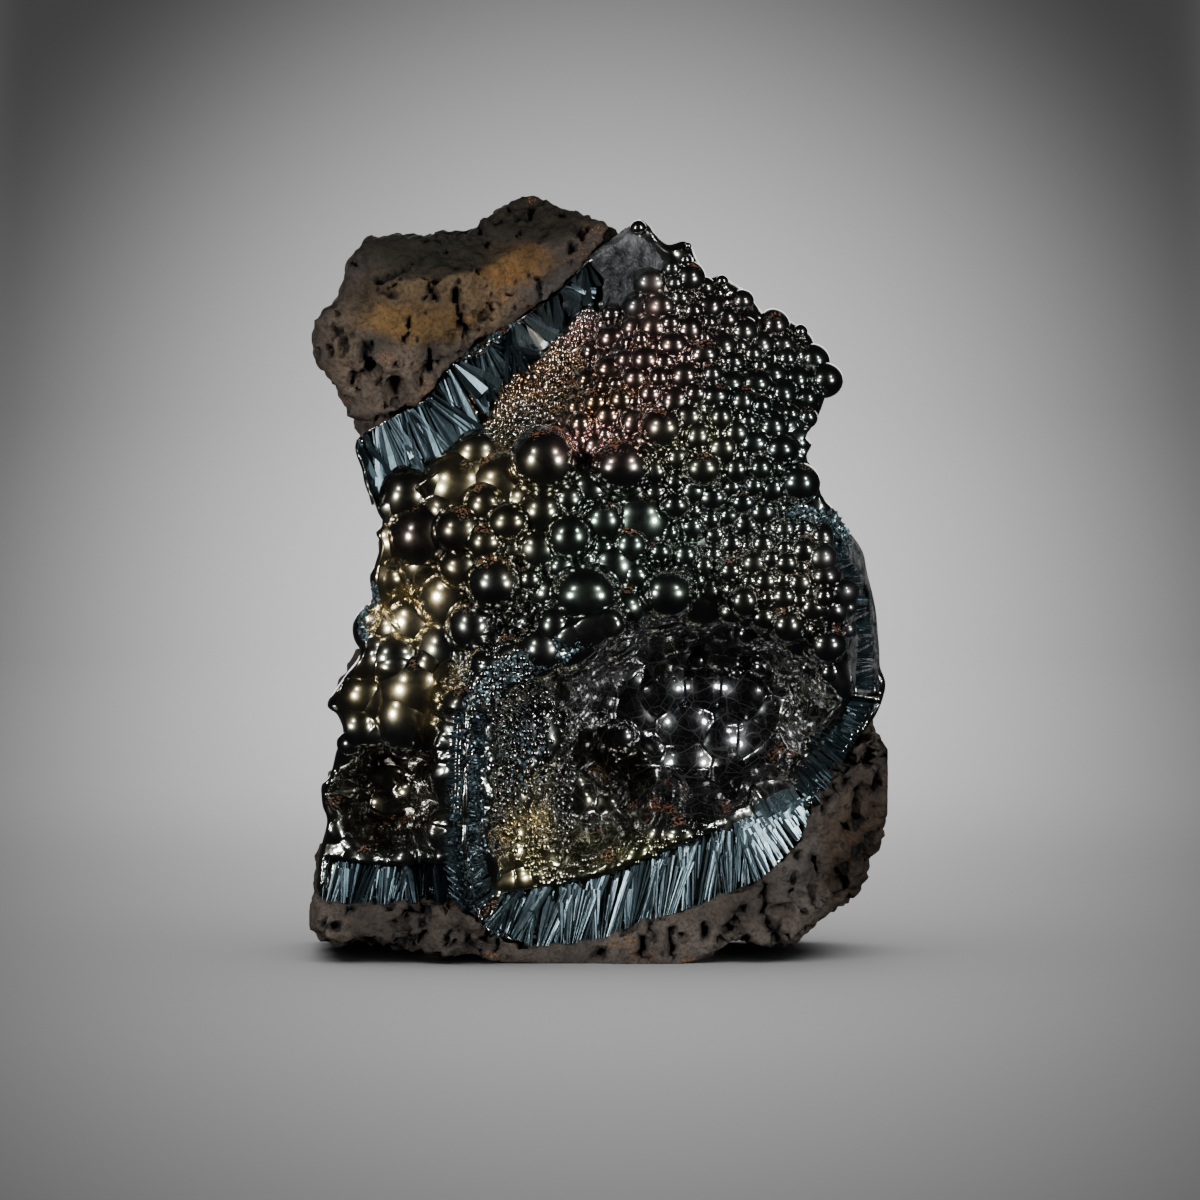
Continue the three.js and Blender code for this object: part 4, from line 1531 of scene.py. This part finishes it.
@dataclass
class Needles:
    """The radiating needles that the crust is made of, wherever it is broken across."""

    seed: int = 23
    bundled: float = 0.6
    mirror_roof: float = 0.38
    ragged: float = 0.16
    rings: tuple[tuple[float, float], ...] = ((0.0, 0.2), (0.55, 0.75), (1.0, 1.0))

    def build(self) -> bpy.types.Object:
        """Model every band in one joined mesh.

        Returns:
            The needles.
        """
        rng = np.random.default_rng(self.seed)
        points, shades = [], []
        for band in NEEDLE_BANDS:
            for _ in range(band.blades):
                needle, bundle = self.needle(band, rng)
                points.append(needle)
                low, high = band.shade
                share = float(np.clip(self.bundled * bundle + (1.0 - self.bundled) * rng.random(), 0.0, 1.0))
                shades.append((low + (high - low) * share) ** 2.0)
        sides = [(ring * 4 + k, ring * 4 + (k + 1) % 4, ring * 4 + 4 + (k + 1) % 4, ring * 4 + 4 + k)
                 for ring in range(2) for k in range(4)]
        faces = np.array(sides + [(3, 2, 1, 0), (8, 9, 10, 11)])
        piece = joined_copies("crust_needles", points, faces)
        set_shades(piece, shades)
        shade_smooth(piece, False)
        return piece

    @staticmethod
    def line(points: tuple[Pixel, ...], share: float) -> np.ndarray:
        """Place along a line in millimetres, x and z.

        Args:
            points: the line's corners in view pixels.
            share: share of the way along it.

        Returns:
            x and z.
        """
        table = np.array([(VIEW.x(px), VIEW.z(py)) for px, py in points])
        along = np.linspace(0.0, 1.0, len(points))
        return np.array([np.interp(share, along, table[:, 0]), np.interp(share, along, table[:, 1])])

    def needle(self, band: NeedleBand, rng: np.random.Generator) -> tuple[np.ndarray, float]:
        """Twelve vertices of one needle, narrow at the matrix and wide at the skin, and its bundle's shade.

        Args:
            band: the band that it stands in.
            rng: seeded random numbers.

        Returns:
            Vertices and shade.
        """
        share = rng.random()
        wave = math.sin(share * 2 * math.pi * band.fans)
        spot = np.array([[share * band.fans * 2.6, band.blades * 0.37, 0.0]])
        bundle = float(np.clip(0.5 + 0.8 * lattice_noise(spot, 1.0, 61)[0], 0.0, 1.0))
        scallop = 1.0 + self.ragged * float(lattice_noise(spot * 1.7, 1.0, 62)[0])
        root = self.line(band.matrix_line, share)
        tip = self.line(band.skin_line, float(np.clip(share + wave * band.spread + rng.normal(0, 0.008), 0, 1)))
        start, end = 0.0, rng.uniform(0.75, 1.08) * scallop
        if rng.random() < 0.5:
            start, end = rng.uniform(0.0, 0.5), rng.uniform(0.5, 1.0) * scallop
        first, last = root + (tip - root) * start, root + (tip - root) * end
        along = last - first
        across = np.array([-along[1], along[0]]) / max(np.hypot(*along), 1e-6)
        width = band.width[0] + (band.width[1] - band.width[0]) * rng.random() ** 2
        lift = band.sunk * (0.15 + 0.75 * rng.random() * (0.6 + 0.4 * abs(wave)))
        roll = (bundle - 0.5) * 1.6 + rng.uniform(-0.35, 0.35)
        roof = rng.uniform(0.15, 0.6)
        if band.mirrored:
            roll, roof = rng.uniform(-0.08, 0.08), self.mirror_roof
        pitch = rng.uniform(-0.2, 0.3)
        rings = []
        for part, grow in self.rings:
            spot = first + along * part
            y = float(SKIN.sample(SKIN.base, spot[0:1], spot[1:2])[0]) + band.sunk
            y = max(y - lift * (1.0 + pitch * (part - 0.5)), SKIN.nearest)
            half = width * grow / 2
            for s, d in ((-1.0, 0.0), (0.0, -roof), (1.0, 0.0), (0.0, 0.7)):
                side = across * s * half
                rings.append((spot[0] + side[0], y + (d + s * roll) * half, spot[1] + side[1]))
        return np.array(rings), bundle


@dataclass
class Sparkles:
    """Tiny bright crystals along the broken edges and the septum."""

    seed: int = 37
    size: tuple[float, float] = (0.10, 0.34)
    shade: tuple[float, float] = (0.3, 1.0)
    tall: float = 1.6
    patches: tuple[tuple[Zone, int], ...] = (
        (Zone("crest over the cluster", (775, 512), (62, 16), -4), 520),
        (Zone("right shoulder", (832, 528), (14, 26), 0), 260),
        (Zone("septum", (500, 735), (42, 110), 12), 900),
        (Zone("septum's top", (540, 648), (72, 16), 24), 520),
        (Zone("septum's foot", (468, 830), (18, 76), 0), 420),
        (Zone("foot contact", (560, 918), (82, 10), 4), 260),
        (Zone("left foot contact", (392, 882), (62, 10), 0), 200),
        (Zone("shoulder contact", (470, 362), (70, 13), 38), 260),
        (Zone("left edge", (366, 600), (13, 34), 0), 220),
    )

    def build(self) -> bpy.types.Object:
        """Model one eight-sided crystal and copy it about.

        Returns:
            The crystals.
        """
        rng = np.random.default_rng(self.seed)
        corners = np.array([(1, 0, 0), (-1, 0, 0), (0, 1, 0), (0, -1, 0), (0, 0, self.tall), (0, 0, -self.tall)])
        faces = np.array([(0, 2, 4), (2, 1, 4), (1, 3, 4), (3, 0, 4), (2, 0, 5), (1, 2, 5), (3, 1, 5), (0, 3, 5)])
        points, shades = [], []
        for zone, count in self.patches:
            for px, py in self.places(zone, count, rng):
                x, z = VIEW.x(px), VIEW.z(py)
                size = rng.uniform(*self.size)
                turn = Matrix.Rotation(float(rng.uniform(0, 2 * math.pi)), 3, Vector(rng.normal(size=3)))
                turned = corners @ np.array(turn)
                y = SKIN.sample(SKIN.base, np.array([x]), np.array([z]))[0]
                lift = SKIN.sample(SKIN.lift, np.array([x]), np.array([z]))[0]
                points.append(np.array([x, max(y - lift, SKIN.nearest) - 0.3 * size, z]) + turned * size)
                shades.append(rng.uniform(*self.shade))
        piece = joined_copies("crust_sparkles", points, faces)
        set_shades(piece, shades)
        shade_smooth(piece, False)
        return piece

    def places(self, zone: Zone, count: int, rng: np.random.Generator) -> list[Pixel]:
        """Random places in a patch that lie on the crust.

        Args:
            zone: the patch.
            count: how many.
            rng: seeded random numbers.

        Returns:
            Columns and rows.
        """
        kept = []
        while len(kept) < count:
            reach, angle = math.sqrt(rng.random()), rng.random() * 2 * math.pi
            px, py = zone.place(reach, angle)
            if inside(np.array([VIEW.x(px)]), np.array([VIEW.z(py)]), CRUST_RIM.path)[0]:
                kept.append((px, py))
        return kept


@dataclass
class MatrixRock:
    """The host rock: its solid with a broken, pitted surface."""

    voxel: float = 0.65
    tints: tuple[Tint, ...] = (
        Tint((420, 300), (110, 44), (0.115, 0.078, 0.040), 0.9),
        Tint((345, 335), (36, 60), (0.085, 0.064, 0.045), 0.8),
        Tint((385, 375), (64, 44), (0.100, 0.078, 0.060), 0.8),
        Tint((410, 318), (60, 22), (0.150, 0.088, 0.030), 0.9),
        Tint((512, 262), (44, 28), (0.110, 0.060, 0.018), 0.9),
        Tint((560, 290), (30, 24), (0.052, 0.048, 0.046), 0.8),
        # painted shade: the next two patches are near-black on the rock's top faces
        Tint((425, 250), (76, 25), (0.010, 0.010, 0.004), 1.0),
        Tint((540, 212), (76, 28), (0.020, 0.015, 0.005), 1.0),
        Tint((640, 935), (170, 30), (0.075, 0.065, 0.058), 0.8),
        Tint((390, 920), (80, 30), (0.066, 0.055, 0.047), 0.8),
        Tint((800, 860), (40, 40), (0.080, 0.074, 0.070), 0.7),
        Tint((862, 830), (46, 110), (0.034, 0.022, 0.014), 0.95),
    )
    ground: Colour = (0.052, 0.043, 0.037)
    # painted shade laid on the rock's upward faces
    upward_shade: Colour = (0.014, 0.012, 0.007)
    pitted: tuple[Zone, ...] = (
        Zone("upper left", (375, 375), (60, 46), -30),
        Zone("shoulder edge", (450, 345), (90, 20), 38),
        Zone("foot", (620, 930), (300, 34), 4),
        Zone("lower right", (845, 830), (62, 110), -12),
    )
    ragged: Zone = Zone("ragged corner", (860, 830), (60, 120), 0)
    breaks: tuple[tuple[float, float, int], ...] = ((0.45, 5.5, 41), (0.55, 2.4, 42), (0.5, 1.1, 43))
    more_ragged: float = 0.9
    least_porous: float = 0.35
    pit_stretch: float = 0.62
    pit_depth: float = 1.9
    foot_kept: tuple[float, float] = (0.05, 1.5)

    def build(self) -> bpy.types.Object:
        """Copy the solid, remesh it finely and break up its surface.

        Returns:
            The rock.
        """
        source = bpy.data.objects[Layer.MATRIX.node]
        piece = source.copy()
        piece.data = source.data.copy()
        piece.name = piece.data.name = "matrix_rock"
        piece.data.materials.clear()
        piece.animation_data_clear()
        bpy.context.scene.collection.objects.link(piece)
        deselect()
        piece.select_set(True)
        bpy.context.view_layer.objects.active = piece
        bpy.ops.object.mode_set(mode="EDIT")
        bpy.ops.mesh.select_all(action="SELECT")
        bpy.ops.mesh.remove_doubles(threshold=1e-6)
        bpy.ops.object.mode_set(mode="OBJECT")
        remesh = piece.modifiers.new("remesh", "REMESH")
        remesh.mode = "VOXEL"
        remesh.voxel_size = self.voxel * MM
        bpy.ops.object.modifier_apply(modifier="remesh")
        points = points_of(piece)
        normals = np.empty(3 * len(points))
        piece.data.vertices.foreach_get("normal", normals)
        normals = normals.reshape(-1, 3)
        px, py = VIEW.pixels(points[:, 0], points[:, 2])
        broken = sum(height * lattice_noise(points, size, seed) for height, size, seed in self.breaks)
        broken *= 1.0 + self.more_ragged * (1.0 - smoothstep(self.ragged.reach(px, py), 0.7, 1.1))
        porous = np.full(len(points), self.least_porous)
        for zone in self.pitted:
            porous = np.maximum(porous, 1.0 - smoothstep(zone.reach(px, py), 0.7, 1.15))
        tall = points * np.array([1.0, 1.0, self.pit_stretch])
        hole = lattice_noise(tall, 1.6, 44) + 0.45 * lattice_noise(points, 0.8, 45)
        shaded_pit = smoothstep(hole, 0.68 - 0.38 * porous, 0.78 - 0.38 * porous)
        keep = smoothstep(points[:, 2], *self.foot_kept)
        move = (broken - self.pit_depth * shaded_pit) * keep
        points = points + normals * move[:, None]
        low, high = np.array(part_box(Layer.MATRIX.node)) / MM
        points = np.clip(points, low, high)
        set_points(piece, points)
        shade_smooth(piece)
        # the pit mask goes to the material as painted shade
        set_colour(piece, "pits", np.stack([shaded_pit * keep] * 3 + [np.ones_like(shaded_pit)], axis=1))
        set_colour(piece, "tint", self.tint(points, normals[:, 2], px, py))
        return piece

    def tint(self, points: np.ndarray, upward: np.ndarray, px: np.ndarray, py: np.ndarray) -> np.ndarray:
        """Ground colour of the rock, as N x 4 values, with painted shade that darkens what faces up to near-black
        olive.

        Args:
            points: N x 3 places in millimetres.
            upward: how far each faces up.
            px: columns in view pixels.
            py: rows in view pixels.

        Returns:
            One colour for each place.
        """
        colour = np.tile(np.array(self.ground), (len(points), 1))
        wander = lattice_noise(points, 6.0, 51) * 0.35
        for tint in self.tints:
            colour = tint.laid_on(colour, tint.amount(px, py, wander, 0.5, 1.15))
        # painted shade: faces that point up on the upper rock are darkened to near-black olive
        top = smoothstep(upward, 0.45, 0.8) * smoothstep(points[:, 2], 40.0, 60.0)
        colour += (np.array(self.upward_shade) - colour) * top[:, None]
        return np.hstack([colour, np.ones((len(points), 1))])


@dataclass
class Studio:
    """Pale floor and backdrop with a painted pool of light, soft lights and the camera at the front view's angle.
    """

    distance: float = 1.3
    elevation: float = 4.0
    frame: float = 0.1897
    aim_height: float = 0.056
    softbox_distance: float = 0.75
    softboxes: tuple[tuple[float, float, float, float], ...] = (
        (43.0, 5.0, 0.15, 5.2),
        (38.0, 27.0, 0.09, 1.4),
        (166.0, 18.0, 0.5, 1.5),
    )
    floor_light: tuple[float, float] = (2.2, 28.0)
    floor_light_from: tuple[float, float, float] = (0.0, 0.0, 1.1)
    floor_light_at: tuple[float, float, float] = (0.0, 0.05, 0.0)
    front_fill: tuple[tuple[float, float, float], float, float] = ((0.0, -1.0, 0.35), 0.9, 1.2)
    backdrop_from: tuple[float, float, float] = (0.0, 0.08, 0.7)
    backdrop_at: tuple[float, float, float] = (0.0, 0.62, 0.05)
    backdrop_cone: float = 75.0
    backdrop_power: float = 14.0
    # painted light: a round pool, pale in the middle and dim outwards, painted on the paper
    painted_pool_middle: tuple[float, float, float] = (0.0, 0.42, 0.02)
    painted_pool_stretch: tuple[float, float, float] = (6.2, 1.0, 5.2)
    painted_pool_light: Colour = (0.62, 0.62, 0.62)
    painted_pool_dim: Colour = (0.03, 0.03, 0.03)
    paper_plain: Colour = (0.40, 0.40, 0.40)
    dish: tuple[tuple[float, float], ...] = (
        (0.35, 0.0), (0.47, 0.012), (0.57, 0.06), (0.62, 0.16), (0.63, 0.35), (0.63, 1.3),
    )
    dish_sides: int = 96
    paper_aside: tuple[float, float] = (0.13, 0.20)
    paper_before: tuple[float, float] = (-0.40, -0.30)
    aim_x: float = 0.000373
    sensor: float = 36.0
    room: Colour = (0.02, 0.02, 0.022)

    def build(self, pieces: list[bpy.types.Object]) -> None:
        """Set up everything that isn't part of the specimen, whose pieces the softboxes light.

        Args:
            pieces: the specimen's pieces.
        """
        stage = self.floor()
        self.lights(self.group("lit_specimen", pieces), self.group("lit_stage", [stage]))
        self.camera()

    @staticmethod
    def group(name: str, members: list[bpy.types.Object]) -> bpy.types.Collection:
        """A collection that a light can be kept to.

        Args:
            name: its name.
            members: what is in it.

        Returns:
            The collection.
        """
        collection = bpy.data.collections.new(name)
        for member in members:
            collection.objects.link(member)
        return collection

    def floor(self) -> bpy.types.Object:
        """A round floor that turns up into a wall, pale within and clear from outside, so no side is hidden.

        Returns:
            The floor.
        """
        deselect()
        rim, top = self.dish[-1]
        bpy.ops.mesh.primitive_circle_add(vertices=self.dish_sides, radius=rim, fill_type="NOTHING")
        stage = active_mesh("pale_floor")
        bpy.ops.object.mode_set(mode="EDIT")
        bpy.ops.mesh.select_all(action="SELECT")
        bpy.ops.transform.translate(value=(0.0, 0.0, top))
        for (outer, high), (inner, low) in zip(self.dish[::-1], self.dish[-2::-1]):
            bpy.ops.mesh.extrude_region_move()
            bpy.ops.transform.resize(value=(inner / outer, inner / outer, 1.0), center_override=(0.0, 0.0, high))
            bpy.ops.transform.translate(value=(0.0, 0.0, low - high))
        bpy.ops.mesh.edge_face_add()
        bpy.ops.mesh.select_all(action="SELECT")
        bpy.ops.mesh.normals_make_consistent(inside=False)
        bpy.ops.object.mode_set(mode="OBJECT")
        floor = max(stage.data.polygons, key=lambda face: len(face.vertices))
        if floor.normal.z < 0.0:
            stage.data.flip_normals()
        shade_smooth(stage)
        stage.data.materials.append(self.paper())
        stage.visible_glossy = False
        stage.visible_diffuse = False
        stage.visible_shadow = False
        return stage

    def paper(self) -> bpy.types.Material:
        """Paper with a painted pool of light behind the specimen, dimming outwards, plain elsewhere, and clear
        from its back.

        Returns:
            The material.
        """
        nodes = Nodes("graduated_paper")
        away = nodes.add("ShaderNodeVectorMath", operation="LENGTH")
        nodes.link(nodes.stretched(self.painted_pool_stretch, self.painted_pool_middle), away.inputs[0])
        # painted pool of light, fading from pale to dim with distance
        painted_falloff = nodes.ramp(away.outputs["Value"], 0.05, 1.05)
        split = nodes.add("ShaderNodeSeparateXYZ")
        nodes.link(nodes.place, split.inputs["Vector"])
        aside = nodes.ramp(nodes.math("ABSOLUTE", split.outputs["X"]), *self.paper_aside)
        before = nodes.ramp(split.outputs["Y"], *self.paper_before, 1.0, 0.0)
        painted_pool = nodes.mix(painted_falloff, self.painted_pool_light, self.painted_pool_dim)
        plain = nodes.math("MAXIMUM", aside, before)
        nodes.set(Base_Color=nodes.mix(plain, painted_pool, self.paper_plain), Roughness=0.95)
        either = nodes.add("ShaderNodeMixShader")
        nodes.link(nodes.add("ShaderNodeNewGeometry").outputs["Backfacing"], either.inputs[0])
        nodes.link(nodes.shader.outputs[0], either.inputs[1])
        nodes.link(nodes.add("ShaderNodeBsdfTransparent").outputs[0], either.inputs[2])
        nodes.link(either.outputs[0], nodes.tree.nodes["Material Output"].inputs["Surface"])
        return nodes.material

    def area(self, name: str, place: Vector, target: Vector, size: float, power: float,
             lit: bpy.types.Collection) -> None:
        """Add one round soft light that faces a target, and lights one collection alone.

        Args:
            name: its name.
            place: where it hangs.
            target: what it faces.
            size: its diameter in metres.
            power: its power in watts.
            lit: what it lights.
        """
        data = bpy.data.lights.new(name, "AREA")
        data.shape = "DISK"
        data.size = size
        data.energy = power
        self.hang(data, place, target, lit)

    @staticmethod
    def hang(data: bpy.types.Light, place: Vector, target: Vector, lit: bpy.types.Collection) -> None:
        """Put a light in its place, facing a target, where it lights one collection alone.

        Args:
            data: the light.
            place: where it hangs.
            target: what it faces.
            lit: what it lights.
        """
        lamp = bpy.data.objects.new(data.name, data)
        lamp.location = place
        lamp.light_linking.receiver_collection = lit
        lamp.rotation_euler = (target - place).to_track_quat("-Z", "Y").to_euler()
        bpy.context.scene.collection.objects.link(lamp)

    def lights(self, specimen: bpy.types.Collection, stage: bpy.types.Collection) -> None:
        """Two stacks of softboxes at the sides of the camera, and lights over the stage.

        Args:
            specimen: what the softboxes light.
            stage: what the other lights light.
        """
        target = Vector((0.0, 0.0, self.aim_height))
        for side in (-1, 1):
            for step, (azimuth, elevation, size, power) in enumerate(self.softboxes):
                turn, lift = math.radians(azimuth) * side, math.radians(elevation)
                flat = math.cos(lift)
                way = Vector((math.sin(turn) * flat, -math.cos(turn) * flat, math.sin(lift)))
                name = f"softbox_{'left' if side < 0 else 'right'}_{step}"
                self.area(name, target + way * self.softbox_distance, target, size, power, specimen)
        size, power = self.floor_light
        self.area("floor_light", Vector(self.floor_light_from), Vector(self.floor_light_at), size, power, stage)
        place, size, power = self.front_fill
        self.area("front_fill", Vector(place), Vector((0.0, 0.0, 0.0)), size, power, stage)
        self.backdrop_light(stage)
        world = bpy.data.worlds.new("dim_room")
        world.use_nodes = True
        world.node_tree.nodes["Background"].inputs["Color"].default_value = (*self.room, 1.0)
        bpy.context.scene.world = world

    def backdrop_light(self, stage: bpy.types.Collection) -> None:
        """A soft round pool of light on the backdrop behind the specimen.

        Args:
            stage: what it lights.
        """
        data = bpy.data.lights.new("backdrop_light", "SPOT")
        data.energy = self.backdrop_power
        data.spot_size = math.radians(self.backdrop_cone)
        data.spot_blend = 1.0
        data.shadow_soft_size = 0.03
        self.hang(data, Vector(self.backdrop_from), Vector(self.backdrop_at), stage)

    def camera(self) -> None:
        """A long lens, a little above the middle of the specimen."""
        data = bpy.data.cameras.new("camera")
        data.sensor_width = self.sensor
        data.lens = data.sensor_width * self.distance / self.frame
        camera = bpy.data.objects.new("camera", data)
        target = Vector((self.aim_x, 0.0, self.aim_height))
        lift = math.radians(self.elevation)
        camera.location = target + Vector((0.0, -math.cos(lift), math.sin(lift))) * self.distance
        camera.rotation_euler = (target - camera.location).to_track_quat("-Z", "Y").to_euler()
        bpy.context.scene.collection.objects.link(camera)
        bpy.context.scene.camera = camera


def main() -> None:
    """Build the specimen, then the studio round it."""
    logging.basicConfig(level=logging.INFO, format="%(message)s")
    skin = BubbleSkinFinish().material()
    silk = NeedleFinish().material()
    rock = MatrixFinish().material()
    dull = DullCrustFinish().material()
    pieces = [finish_piece(CrustSkin().build(), Layer.CRUST, skin, dull)]
    pieces += [finish_piece(bubbles, Layer.CRUST, skin) for bubbles in Bubbles().build()]
    pieces.append(finish_piece(Needles().build(), Layer.CRUST, silk))
    pieces.append(finish_piece(Sparkles().build(), Layer.CRUST, silk))
    pieces.append(finish_piece(MatrixRock().build(), Layer.MATRIX, rock))
    Studio().build(pieces)


if __name__ == "__main__":
    main()
